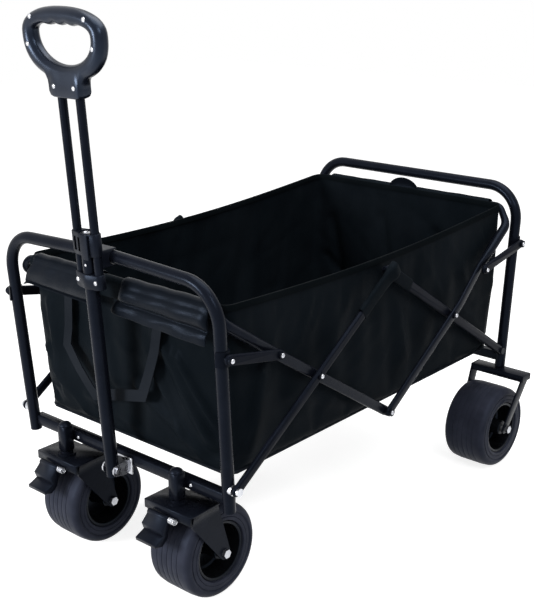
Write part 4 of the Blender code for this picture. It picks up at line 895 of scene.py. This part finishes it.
BAR_HALF_T = 0.0045
BAR_HALF_W = 0.0095
FRONT_KNEE = Vector((0.252, -0.405, 0.533))
FRONT_CORNER = Vector((0.236, FRONT_ROD_Y, FRONT_ROD_Z))
REAR_CRANK = 0.030  # past its crossing the rear bar leans inwards
REAR_KNEE = Vector((0.262, 0.446, 0.530))
REAR_CORNER = Vector((0.236, REAR_ROD_Y, REAR_ROD_Z))
RIM_BEND = 0.022
REAR_KNEE_BEND = 0.034
BAR_BEND = 0.080
RIM_STEPS = 420
ROUND_FROM = 0.010  # past the link joint the flat tube turns round
ROUND_TO = 0.055
SLIM_FROM = -0.010  # about the knee it gets as thin as the rim rod
SLIM_TO = 0.020
BLUNT = 0.02  # keeps a flat face on the rounded end of a bar
HEAD_R = 0.0075
HEAD_FROM = 0.2790  # pin heads on the outer bars
HEAD_TO = 0.2845
FLOOR_ROD_R = 0.0055


def rim_loop(end, half, bends):
    """A rim loop from its right half, which runs from the lower pin to the rim corner.

    The half's last three points are the link joint, the knee and the rim corner.
    """
    points = half + [point * MIRROR for point in reversed(half)]
    walk = even_steps(bent(points, bends + bends[::-1]), RIM_STEPS)
    pace = (walk[1] - walk[0]).length
    runs = [(b - a).length for a, b in zip(half, half[1:])]
    at_joint = sum(runs[:-2])
    at_knee = sum(runs[:-1])
    sizes = []
    for k in range(RIM_STEPS):
        gone = pace * min(k, RIM_STEPS - 1 - k)
        round_end = math.sqrt(max(BLUNT, 1.0 - (1.0 - min(1.0, gone / BAR_HALF_W)) ** 2))
        slim = mix(BAR_HALF_W, RIM_R, ramp(gone, at_knee + SLIM_FROM, at_knee + SLIM_TO))
        thick = mix(BAR_HALF_T, slim, ramp(gone, at_joint + ROUND_FROM, at_joint + ROUND_TO))
        sizes.append((thick, slim * round_end))
    made = tube(f"{end}_rim_loop_skin", walk, sizes, 28, side=X_AXIS)
    finish_piece(made, PAINT, f"{end}_rim_loop", TUBE_ANGLE)
    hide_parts(f"{end}_rim_loop")


def cross_rod(name, start, end, at, radius, body):
    """A short round rod along X at the height and depth of a point."""
    ends = [Vector((x, at.y, at.z)) for x in (start, end)]
    finish_piece(round_tube(name, ends, radius, 24), PAINT, body, TUBE_ANGLE)


def rim_loops():
    """Both rim loops, the rod under the floor and the heads of the rear loop's pins."""
    front_run = Vector((0.0, -BAR_RUN.y, BAR_RUN.z))
    start = Vector((INNER_X, *LOW_MID.yz)) - front_run * BAR_HALF_W
    joint = Vector((INNER_X, *FRONT_CROSSING.yz)) + front_run * LINK_REACH
    rim_loop("front", [start, joint, FRONT_KNEE, FRONT_CORNER], (BAR_BEND, RIM_BEND, RIM_BEND))
    start = Vector((OUTER_X, *LOW_MID.yz)) - BAR_RUN * BAR_HALF_W
    crank = Vector((OUTER_X, *REAR_CROSSING.yz)) + BAR_RUN * REAR_CRANK
    joint = Vector((INNER_X, *REAR_CROSSING.yz)) + BAR_RUN * LINK_REACH
    half = [start, crank, joint, REAR_KNEE, REAR_CORNER]
    rim_loop("rear", half, (BAR_BEND, BAR_BEND, REAR_KNEE_BEND, RIM_BEND))
    reach = INNER_X - BAR_HALF_T
    cross_rod("front_floor_rod", -reach, reach, LOW_MID, FLOOR_ROD_R, "front_rim_loop")
    for label, side in SIDES.items():
        for place, at in (("crossing", REAR_CROSSING), ("low", LOW_MID)):
            name = f"rear_loop_{place}_head_{label}"
            cross_rod(name, side * HEAD_FROM, side * HEAD_TO, at, HEAD_R, "rear_rim_loop")


# Wheels: profiles are (radius, x) points

WHEEL_HALF_W = 0.048
WHEEL_R = 0.0880
RIM_SEAT_R = 0.055
SHOULDER_R = 0.012
SHOULDER_DROP = 0.0012  # the shoulders end this far under the crown
TREAD_GROOVES = (-0.024, -0.012, 0.0, 0.012, 0.024)
# Half of a tread groove: offset from its middle, depth
GROOVE = ((0.0011, 0.0), (0.0007, 0.0001), (0.0004, 0.0008))
# Side wall from the bead to the shoulder: radius, depth under the side
SIDE_WALL = (
    (RIM_SEAT_R + 0.0006, 0.006), (RIM_SEAT_R + 0.002, 0.001), (RIM_SEAT_R + 0.006, 0.0),
    (0.0625, 0.0004), (0.0632, 0.0014), (0.0640, 0.0004), (0.0705, 0.0008), (0.0712, 0.0022),
    (0.0722, 0.0022), (0.0729, 0.0012),
)
HUB_RIM = WHEEL_HALF_W - 0.004
# One side of the hub: boss, web, barrel and rim flange
HUB_SIDE = (
    (0.0056, 0.0460), (0.0135, 0.0460), (0.0150, 0.0445), (0.0165, 0.012), (0.0195, 0.0075),
    (0.043, 0.0055), (0.0465, 0.0085), (0.0492, HUB_RIM - 0.006), (0.0500, HUB_RIM - 0.001),
    (0.0515, HUB_RIM), (0.0542, HUB_RIM), (0.0549, HUB_RIM - 0.001),
)


def tyre_profile():
    """Tyre section with rounded shoulders and rounded grooves."""
    side = [(radius, WHEEL_HALF_W - depth) for radius, depth in SIDE_WALL]
    low, out = WHEEL_R - SHOULDER_DROP - SHOULDER_R, WHEEL_HALF_W - SHOULDER_R
    for step in range(9):
        angle = math.radians(90.0 * step / 8)
        side.append((low + SHOULDER_R * math.sin(angle), out + SHOULDER_R * math.cos(angle)))
    crown = []
    for middle in reversed(TREAD_GROOVES):
        crown += [(WHEEL_R - depth, middle + offset) for offset, depth in GROOVE]
        crown += [(WHEEL_R - depth, middle - offset) for offset, depth in reversed(GROOVE)]
    return side + crown + [(radius, -x) for radius, x in reversed(side)]


def hub_profile():
    """Dished hub."""
    return list(HUB_SIDE) + [(radius, -x) for radius, x in reversed(HUB_SIDE)]


def wheel(end, label):
    """Smooth tyre and dished hub of one wheel."""
    centre = JOINTS[f"{end}_wheel_spin_{label}"]
    parts = (("tyre", tyre_profile(), 96, RUBBER), ("hub", hub_profile(), 72, HUB))
    for part, profile, steps, look in parts:
        made = lathe(f"{end}_{label}_{part}_skin", profile, centre, steps)
        finish_piece(made, look, f"{end}_wheel_{label}", HARD_ANGLE)
        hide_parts(f"{end}_{label}_{part}")


# Handle: places are given across it, along it from the hinge pin, and out of its front face

HINGE = JOINTS["handle_tilt"]
UP = -AXES["handle_telescope"]
FRONT = X_AXIS.cross(UP)
ROD_X = 0.022
ROD_R = 0.0075
ROD_LOW = 0.3483
ROD_TOP = 0.690
STEM_R = 0.012
STEM_BOTTOM = -0.013
STEM_TOP = 0.4370
GRIP_LOW = 0.660
GRIP_EYE = 0.758
GRIP_HIGH = 0.8015
GRIP_DROP = 0.0705
GRIP_COLLAR = 0.020
GRIP_BASE_HALF = 0.0365
GRIP_BASE_CORNER = 0.005
GRIP_HALF_X = 0.096
GRIP_HALF_T = 0.0135
GRIP_SQUARENESS = 0.85
GRIP_FROM = -65.0  # angle about the eye where the collar meets the bow
COLLAR_TOP = GRIP_LOW + 0.030  # below here the round section turns into the flat collar
COLLAR_FADE = 0.020
COLLAR_EDGE = 0.004
HOLE_LOW = 0.712
HOLE_EYE = 0.757
HOLE_HIGH = 0.775
HOLE_HALF_X = 0.0695
HOLE_SQUARENESS = 0.6
FINGER_PITCH = 0.027
FINGER_SPAN = 0.0405
FINGER_WAVE = 0.0026
GRIP_COLUMNS = 80  # sections round the grip
GRIP_SECTION = 22  # points round one section
PARTING = 0.0007  # depth of the groove between the two shells
GUIDE_MIDDLE = 0.4215
GUIDE_WINDOWS = ((-0.0205, -0.0135), (-0.0080, -0.0020))
WINDOW_DEPTH = 0.010
WINDOW_H = 0.024
WINDOW_OUT = 0.013
PANEL_SIZE = (0.017, 0.0030, 0.043)
PANEL_X = 0.0095
PANEL_DOWN = 0.003
PANEL_OUT = 0.0142
PANEL_EDGE = 0.0009
GRIP_SCREWS = ((0.065, 0.785), (0.078, 0.742), (0.024, 0.679))
SCREW_SINK = 0.0008
SLIDER_SCREW_ALONG = 0.357
SLIDER_FACE = 0.0098
RIVET = (0.0035, 0.386, 0.0112)


def on_handle(x, along, out=0.0):
    """A point in the handle's own directions."""
    return HINGE + X_AXIS * x + UP * along + FRONT * out


def swept(eye, half_x, rise, squareness, start, end, steps):
    """Part of a rounded form, from a start to an end angle in degrees about its eye."""
    points = []
    for step in range(steps):
        angle = math.radians(mix(start, end, step / (steps - 1)))
        u = half_x * max(0.0, math.cos(angle)) ** squareness
        points.append(Vector((u, eye + rise * signed_power(math.sin(angle), squareness))))
    return points


def grip_half():
    """Matching points of the grip's outside and of its hand hole, from the bottom up to the top."""
    inset = GRIP_BASE_HALF - GRIP_BASE_CORNER
    outside = [Vector((0.0, GRIP_LOW)), Vector((inset, GRIP_LOW))]
    for height in (GRIP_BASE_CORNER, GRIP_COLLAR):
        outside.append(Vector((GRIP_BASE_HALF, GRIP_LOW + height)))
    outside += swept(GRIP_EYE, GRIP_HALF_X, GRIP_DROP, GRIP_SQUARENESS, GRIP_FROM, 0.0, 30)
    outside += swept(GRIP_EYE, GRIP_HALF_X, GRIP_HIGH - GRIP_EYE, GRIP_SQUARENESS, 0.0, 90.0, 40)[1:]
    hole = swept(HOLE_EYE, HOLE_HALF_X, HOLE_EYE - HOLE_LOW, 1.0, -90.0, 0.0, 40)
    hole += swept(HOLE_EYE, HOLE_HALF_X, HOLE_HIGH - HOLE_EYE, HOLE_SQUARENESS, 0.0, 90.0, 40)[1:]
    count = GRIP_COLUMNS // 2 + 1
    hole = even_steps(hole, count)
    for point in hole:
        if point.y > HOLE_EYE and point.x < FINGER_SPAN:
            point.y -= FINGER_WAVE * math.cos(math.pi * point.x / FINGER_PITCH) ** 2
    return even_steps(outside, count), hole


def grip():
    """Moulded D-grip: a ring of round section on a flat collar, with its parting groove."""
    pairs = list(zip(*grip_half()))
    pairs += [(Vector((-a.x, a.y)), Vector((-b.x, b.y))) for a, b in reversed(pairs[1:-1])]
    rows = []
    for outer, inner in pairs:
        middle, reach = (outer + inner) / 2, (outer - inner) / 2
        half, out = reach.length, reach.normalized()
        inner_round = min(half, GRIP_HALF_T)
        outer_round = mix(inner_round, COLLAR_EDGE, ramp(COLLAR_TOP - outer.y, 0.0, COLLAR_FADE))
        row = []
        for angle in turns(GRIP_SECTION, 0.5):
            end_round = outer_round if math.cos(angle) > 0 else inner_round
            along = math.copysign(half - end_round, math.cos(angle)) + end_round * math.cos(angle)
            row.append(on_handle(*(middle + out * along), GRIP_HALF_T * math.sin(angle)))
        for place, sign in ((GRIP_SECTION, 1.0), (GRIP_SECTION // 2, -1.0)):
            row.insert(place, on_handle(*(middle + out * sign * (half - PARTING))))
        rows.append(row)
    made = surface("grip_skin", rows, closed=True, ring=True)
    finish_piece(made, GRIP_PLASTIC, "handle_slider", GRIP_ANGLE)
    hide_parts("grip_front_shell", "grip_rear_shell")


def block(size, place):
    """A box, as a bmesh, of a size across, through and along the handle."""
    body_mesh = bmesh.new()
    bmesh.ops.create_cube(body_mesh, size=1.0)
    turn = Matrix((X_AXIS, -FRONT, UP)).transposed().to_4x4()
    matrix = Matrix.Translation(place) @ turn @ Matrix.Diagonal((*size, 1.0))
    bmesh.ops.transform(body_mesh, matrix=matrix, verts=body_mesh.verts)
    return body_mesh


def handle_guide():
    """Guide block with its windows, and the panel beside them."""
    body_mesh = bmesh.new()
    body_mesh.from_mesh(frame["nodes"]["handle_guide"].data)
    bmesh.ops.remove_doubles(body_mesh, verts=body_mesh.verts[:], dist=WELD)
    made = new_object("handle_guide_skin", body_mesh)
    for low, high in GUIDE_WINDOWS:
        middle = on_handle((low + high) / 2, GUIDE_MIDDLE, WINDOW_OUT)
        cutter = new_object("window_cutter", block((high - low, WINDOW_DEPTH, WINDOW_H), middle))
        window = made.modifiers.new("window", "BOOLEAN")
        window.object = cutter
        window.solver = "EXACT"
        apply_modifiers(made)
        bpy.data.objects.remove(cutter)
    finish_piece(made, PLASTIC, "handle", HARD_ANGLE)
    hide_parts("handle_guide")
    panel = block(PANEL_SIZE, on_handle(PANEL_X, GUIDE_MIDDLE - PANEL_DOWN, PANEL_OUT))
    round_off = {"offset": PANEL_EDGE, "segments": 3, "affect": "EDGES", "profile": 0.5}
    bmesh.ops.bevel(panel, geom=panel.edges[:], **round_off)
    finish_piece(new_object("handle_guide_panel", panel), PLASTIC, "handle", HARD_ANGLE)


def handle_tubes():
    """Centre tube and the two rods as smooth tubes."""
    runs = (
        ("handle_tube", 0.0, STEM_BOTTOM, STEM_TOP, STEM_R, "handle"),
        ("handle_rod_left", -ROD_X, ROD_LOW, ROD_TOP, ROD_R, "handle_slider"),
        ("handle_rod_right", ROD_X, ROD_LOW, ROD_TOP, ROD_R, "handle_slider"),
    )
    for node, x, low, high, radius, body in runs:
        points = [on_handle(x, mix(low, high, step / 8)) for step in range(9)]
        made = round_tube(f"{node}_skin", points, radius, 36)
        finish_piece(made, PAINT, body, TUBE_ANGLE)
        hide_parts(node)


# Bolt heads and screws: sizes are radius and height

FRAME_BOLT = (0.0042, 0.0024)
SLIDER_SCREW = (0.0042, 0.0018)
GRIP_SCREW = (0.0040, 0.0018)
RIVET_HEAD = (0.0026, 0.0014)
TUBE_CAP = (0.0100, 0.0030)
CROSSBAR_BOLT = (0.0036, 0.0018)
BAR_FACE_X = 0.2845  # faces that the bolts' heads stand on
LINK_FACE_X = 0.2870
SADDLE_FACE_X = 0.2873
# Section of a head with a recess in its middle: shares of its radius and height
HEAD_SECTION = (
    (1.0, 0.0), (1.0, 0.25), (0.92, 0.55), (0.70, 0.82), (0.45, 0.95), (0.36, 0.80), (0.30, 0.55),
)


def dome(body_mesh, base, axis, radius, height):
    """One domed head, standing on base along axis."""
    side = axis.orthogonal().normalized()
    up = axis.cross(side)
    rows = []
    for share, rise in HEAD_SECTION:
        middle = base + axis * height * rise
        ring = [side * math.cos(turn) + up * math.sin(turn) for turn in turns(20)]
        rows.append([middle + spoke * radius * share for spoke in ring])
    add_rows(body_mesh, rows, closed=True, caps=True)


def bolts(name, places, axis, size, body):
    """A group of domed silver heads on one body."""
    body_mesh = bmesh.new()
    for place in places:
        dome(body_mesh, place, axis.normalized(), *size)
    finish_piece(new_object(name, body_mesh), ZINC, body, HARD_ANGLE)


def side_bolts(name, label, x, body, *joints):
    """Silver heads on the outer faces, at x, of one side's pieces."""
    side = SIDES[label]
    places = [Vector((side * x, *joint.yz)) for joint in joints]
    bolts(f"{name}_{label}", places, X_AXIS * side, FRAME_BOLT, body)


def frame_bolts():
    """Silver heads at the scissor joints, links and legs of both sides."""
    along = BAR_RUN * LINK_REACH
    far = {"front": FRONT_CROSSING + Vector((0.0, -along.y, along.z)), "rear": REAR_CROSSING + along}
    for label in SIDES:
        side_bolts("front_crossing_bolt", label, BAR_FACE_X, f"scissor_front_{label}", FRONT_CROSSING)
        side_bolts("rear_loop_bolts", label, BAR_FACE_X, "rear_rim_loop", REAR_CROSSING, LOW_MID)
        for end in ("front", "rear"):
            leg = JOINTS[f"{end}_link_hinge_{label}"]
            side_bolts(f"{end}_link_bolt", label, LINK_FACE_X, f"{end}_link_{label}", far[end])
            side_bolts(f"{end}_leg_bolt", label, SADDLE_FACE_X, f"{end}_frame", leg)


def handle_screws():
    """The tube's cap, the screws of slider and grip, and the tube's rivet."""
    bolts("handle_tube_cap", [on_handle(0.0, STEM_TOP)], UP, TUBE_CAP, "handle")
    sides = SIDES.values()
    slider = [on_handle(side * ROD_X, SLIDER_SCREW_ALONG, SLIDER_FACE) for side in sides]
    bolts("slider_screws", slider, FRONT, SLIDER_SCREW, "handle_slider")
    face = GRIP_HALF_T - SCREW_SINK
    places = [on_handle(side * x, along, face) for side in sides for x, along in GRIP_SCREWS]
    bolts("grip_screws", places, FRONT, GRIP_SCREW, "handle_slider")
    bolts("tube_rivet", [on_handle(*RIVET)], FRONT, RIVET_HEAD, "handle")


# Rear forks, pedal springs and crossbar bolts

FORK_IN = 0.0515  # inside half width
FORK_T = 0.004
FORK_SPREAD = 0.018  # the outer arm leans out by this
FORK_TOP_HALF = 0.0160
FORK_BACK = 0.0005
FORK_ARM_INSET = 0.001
FORK_EYE_R = 0.0118
FORK_BRIDGE_H = 0.015
ARM_EDGE = 0.0008
BRIDGE_EDGE = 0.0018
TO_SIDE = Matrix(((0.0, 0.0, 1.0, 0.0), (1.0, 0.0, 0.0, 0.0), (0.0, 1.0, 0.0, 0.0), (0.0, 0.0, 0.0, 1.0)))
SPRING_GAP = 0.0015  # from the pedal's edge to the spring
SPRING_L = 0.014
SPRING_R = 0.0048
SPRING_WIRE = 0.0010
SPRING_COILS = 5
COIL_STEPS = 14
CROSS_Z = 0.2255
CROSS_BOLT_X = 0.022  # from a post's middle to the bolts beside it


def fork_plate(name, outline, thickness, place, edge):
    """A flat plate of the rear forks from an outline in its own plane, with rounded edges."""
    body_mesh = bmesh.new()
    face = body_mesh.faces.new([body_mesh.verts.new((u, v, -thickness / 2)) for u, v in outline])
    grown = bmesh.ops.extrude_face_region(body_mesh, geom=[face])["geom"]
    raised = [item for item in grown if isinstance(item, bmesh.types.BMVert)]
    bmesh.ops.translate(body_mesh, vec=(0.0, 0.0, thickness), verts=raised)
    borders = [e for e in body_mesh.edges if len({round(v.co.z, 6) for v in e.verts}) == 1]
    bmesh.ops.bevel(body_mesh, geom=borders, offset=edge, segments=2, affect="EDGES", profile=0.5)
    bmesh.ops.transform(body_mesh, matrix=place, verts=body_mesh.verts)
    return finish_piece(new_object(name, body_mesh), PAINT, "rear_frame", HARD_ANGLE)


def strip_outline(top, top_half, low, low_half, steps=10):
    """A strip with square top corners that tapers down to a round end."""
    points = [(top[0] + top_half, top[1]), (top[0] - top_half, top[1])]
    for step in range(steps + 1):
        angle = math.pi + math.pi * step / steps
        points.append((low[0] + low_half * math.cos(angle), low[1] + low_half * math.sin(angle)))
    return points


def rear_forks():
    """Rear forks: a folded strap with an upright inner arm and a leaning outer arm."""
    for label, side in SIDES.items():
        eye = JOINTS[f"rear_wheel_spin_{label}"]
        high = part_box(f"rear_fork_{label}")[1]
        middle_y = high.y - FORK_TOP_HALF + FORK_BACK
        arm_half = FORK_TOP_HALF - FORK_ARM_INSET
        arm = strip_outline((middle_y, high.z), arm_half, (eye.y, eye.z), FORK_EYE_R)
        inner_x = eye.x - side * (FORK_IN + FORK_T / 2)
        outer_x = eye.x + side * (FORK_IN + FORK_T / 2)
        upright = Matrix.Translation((inner_x, 0.0, 0.0)) @ TO_SIDE
        fork_plate(f"rear_fork_inner_{label}", arm, FORK_T, upright, ARM_EDGE)
        lean = Matrix.Rotation(side * math.atan2(FORK_SPREAD, high.z - eye.z), 4, "Y")
        from_eye = Matrix.Translation((0.0, 0.0, -eye.z)) @ TO_SIDE
        leaning = Matrix.Translation((outer_x, 0.0, eye.z)) @ lean @ from_eye
        fork_plate(f"rear_fork_outer_{label}", arm, FORK_T, leaning, ARM_EDGE)
        ends = sorted((inner_x - side * FORK_T / 2, outer_x + side * (FORK_SPREAD + FORK_T / 2)))
        outline = [(x, middle_y - FORK_TOP_HALF) for x in ends]
        outline += [(x, middle_y + FORK_TOP_HALF) for x in reversed(ends)]
        lift = Matrix.Translation((0.0, 0.0, high.z - FORK_BRIDGE_H / 2))
        bridge = fork_plate(f"rear_fork_bridge_{label}", outline, FORK_BRIDGE_H, lift, BRIDGE_EDGE)
        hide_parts(f"rear_fork_{label}")


def pedal_spring(label):
    """A wound wire spring along X beside a pedal's hinge."""
    hinge = JOINTS[f"brake_hinge_{label}"]
    start = Vector((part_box(f"brake_pedal_{label}")[1].x + SPRING_GAP, hinge.y, hinge.z))
    steps = COIL_STEPS * SPRING_COILS
    points = []
    for k in range(steps + 1):
        angle = 2.0 * math.pi * SPRING_COILS * k / steps
        spoke = Vector((0.0, math.cos(angle), math.sin(angle))) * SPRING_R
        points.append(start + X_AXIS * (SPRING_L * k / steps) + spoke)
    made = round_tube(f"pedal_spring_{label}", points, SPRING_WIRE, 8)
    finish_piece(made, ZINC, f"caster_{label}", SOFT_ANGLE)


def small_hardware():
    """Pedal springs, and the crossbar's bolts by the posts."""
    face_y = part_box("front_crossbar")[0].y
    for label in SIDES:
        pedal_spring(label)
        post_x = JOINTS[f"caster_swivel_{label}"].x
        places = [Vector((post_x + step, face_y, CROSS_Z)) for step in (-CROSS_BOLT_X, CROSS_BOLT_X)]
        bolts(f"crossbar_bolts_{label}", places, Vector((0.0, -1.0, 0.0)), CROSSBAR_BOLT, "front_frame")


# Light, floor and camera

WHITE = (1.0, 1.0, 1.0, 1.0)
WORLD_LEVEL = 0.40  # light from all round
FLOOR_SIZE = 6.0
FLOOR_TONE = 0.5
FLOOR_ROUGH = 0.9
FLOOR_GLOW = 0.82  # lifts the lit floor to white where it is seen
# Lamps: place, target, size, power
LAMPS = {
    "key": ((-0.75, -2.2, 0.9), (0.0, -0.3, 0.3), 0.6, 52.0),
    "fill": ((2.3, -1.2, 2.5), (0.0, 0.0, 0.4), 1.0, 40.0),
    "top": ((0.25, 0.3, 2.9), (0.0, 0.0, 0.4), 2.4, 90.0),
}
# Camera fitted to the photograph's bolts and bars
CAMERA_PLACE = (1.42094, -1.61511, 1.11998)
CAMERA_AZIMUTH = math.radians(41.645)
CAMERA_ELEVATION = math.radians(18.044)
CAMERA_ROLL = math.radians(-0.52)
CAMERA_LENS = 68.10
CAMERA_SENSOR = 36.0


def shown_rays(tree):
    """1 for rays that show the background: to the camera, in gloss and through glass."""
    rays = tree.nodes.new("ShaderNodeLightPath")
    first = add_node(tree, "ShaderNodeMath", operation="MAXIMUM")
    both = add_node(tree, "ShaderNodeMath", operation="MAXIMUM")
    tree.links.new(rays.outputs["Is Camera Ray"], first.inputs[0])
    tree.links.new(rays.outputs["Is Glossy Ray"], first.inputs[1])
    tree.links.new(first.outputs["Value"], both.inputs[0])
    tree.links.new(rays.outputs["Is Transmission Ray"], both.inputs[1])
    return both.outputs["Value"]


def studio_floor():
    """Pale seamless floor that keeps the shadow."""
    body_mesh = bmesh.new()
    bmesh.ops.create_grid(body_mesh, x_segments=1, y_segments=1, size=FLOOR_SIZE)
    floor = new_object("studio_floor", body_mesh)
    made = bpy.data.materials.new("studio_floor")
    made.use_nodes = True
    tree = made.node_tree
    shader = tree.nodes["Principled BSDF"]
    shader.inputs["Base Color"].default_value = (FLOOR_TONE, FLOOR_TONE, FLOOR_TONE, 1.0)
    shader.inputs["Roughness"].default_value = FLOOR_ROUGH
    shader.inputs["Specular IOR Level"].default_value = 0.0
    shader.inputs["Emission Color"].default_value = WHITE
    glow = add_node(tree, "ShaderNodeMath", {1: FLOOR_GLOW}, operation="MULTIPLY")
    tree.links.new(shown_rays(tree), glow.inputs[0])
    tree.links.new(glow.outputs["Value"], shader.inputs["Emission Strength"])
    floor.data.materials.append(made)


def studio_world():
    """White world that is seen at full level and lights the part at a lower one."""
    world = bpy.data.worlds.new("studio")
    bpy.context.scene.world = world
    world.use_nodes = True
    tree = world.node_tree
    back = tree.nodes["Background"]
    back.inputs["Color"].default_value = WHITE
    level = add_node(tree, "ShaderNodeMapRange", {"To Min": WORLD_LEVEL, "To Max": 1.0})
    tree.links.new(shown_rays(tree), level.inputs["Value"])
    tree.links.new(level.outputs["Result"], back.inputs["Strength"])


def area_light(name, place, target, size, power):
    """A square softbox aimed at a point."""
    lamp = bpy.data.lights.new(name, "AREA")
    lamp.shape = "SQUARE"
    lamp.size = size
    lamp.energy = power
    made = bpy.data.objects.new(name, lamp)
    made.location = place
    made.rotation_euler = (Vector(target) - Vector(place)).to_track_quat("-Z", "Y").to_euler()
    bpy.context.scene.collection.objects.link(made)


def camera():
    """The photograph's viewpoint."""
    level = Vector((math.sin(CAMERA_AZIMUTH), -math.cos(CAMERA_AZIMUTH), 0.0))
    back = level * math.cos(CAMERA_ELEVATION) + Vector((0.0, 0.0, math.sin(CAMERA_ELEVATION)))
    right = Vector((-level.y, level.x, 0.0))
    roll = Matrix.Rotation(CAMERA_ROLL, 3, back)
    turn = Matrix((roll @ right, roll @ back.cross(right), back)).transposed().to_4x4()
    data = bpy.data.cameras.new("photo_camera")
    data.lens = CAMERA_LENS
    data.sensor_width = CAMERA_SENSOR
    made = bpy.data.objects.new("photo_camera", data)
    made.matrix_world = Matrix.Translation(CAMERA_PLACE) @ turn
    bpy.context.scene.collection.objects.link(made)
    bpy.context.scene.camera = made


# Building the scene

bpy.context.scene.view_settings.view_transform = "Standard"
dress_solids()
camera()
studio_floor()
studio_world()
for lamp_name, lamp_values in LAMPS.items():
    area_light(lamp_name, *lamp_values)

bag_shell, bag_area = bag()
binding = top_binding()
piping = bottom_piping()
hem = front_hem()
flap_left = hem_flap("left")
flap_right = hem_flap("right")
rear_sleeve = rear_hem()
rear_tab()
pull_loop, strap_length = front_loop()
apex_sleeves()
end_frames()
rim_loops()
for wheel_end in ("front", "rear"):
    for wheel_side in SIDES:
        wheel(wheel_end, wheel_side)
grip()
handle_guide()
handle_screws()
handle_tubes()
frame_bolts()
rear_forks()
small_hardware()

for soft in (bag_shell, binding, piping, pull_loop):
    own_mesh(soft)
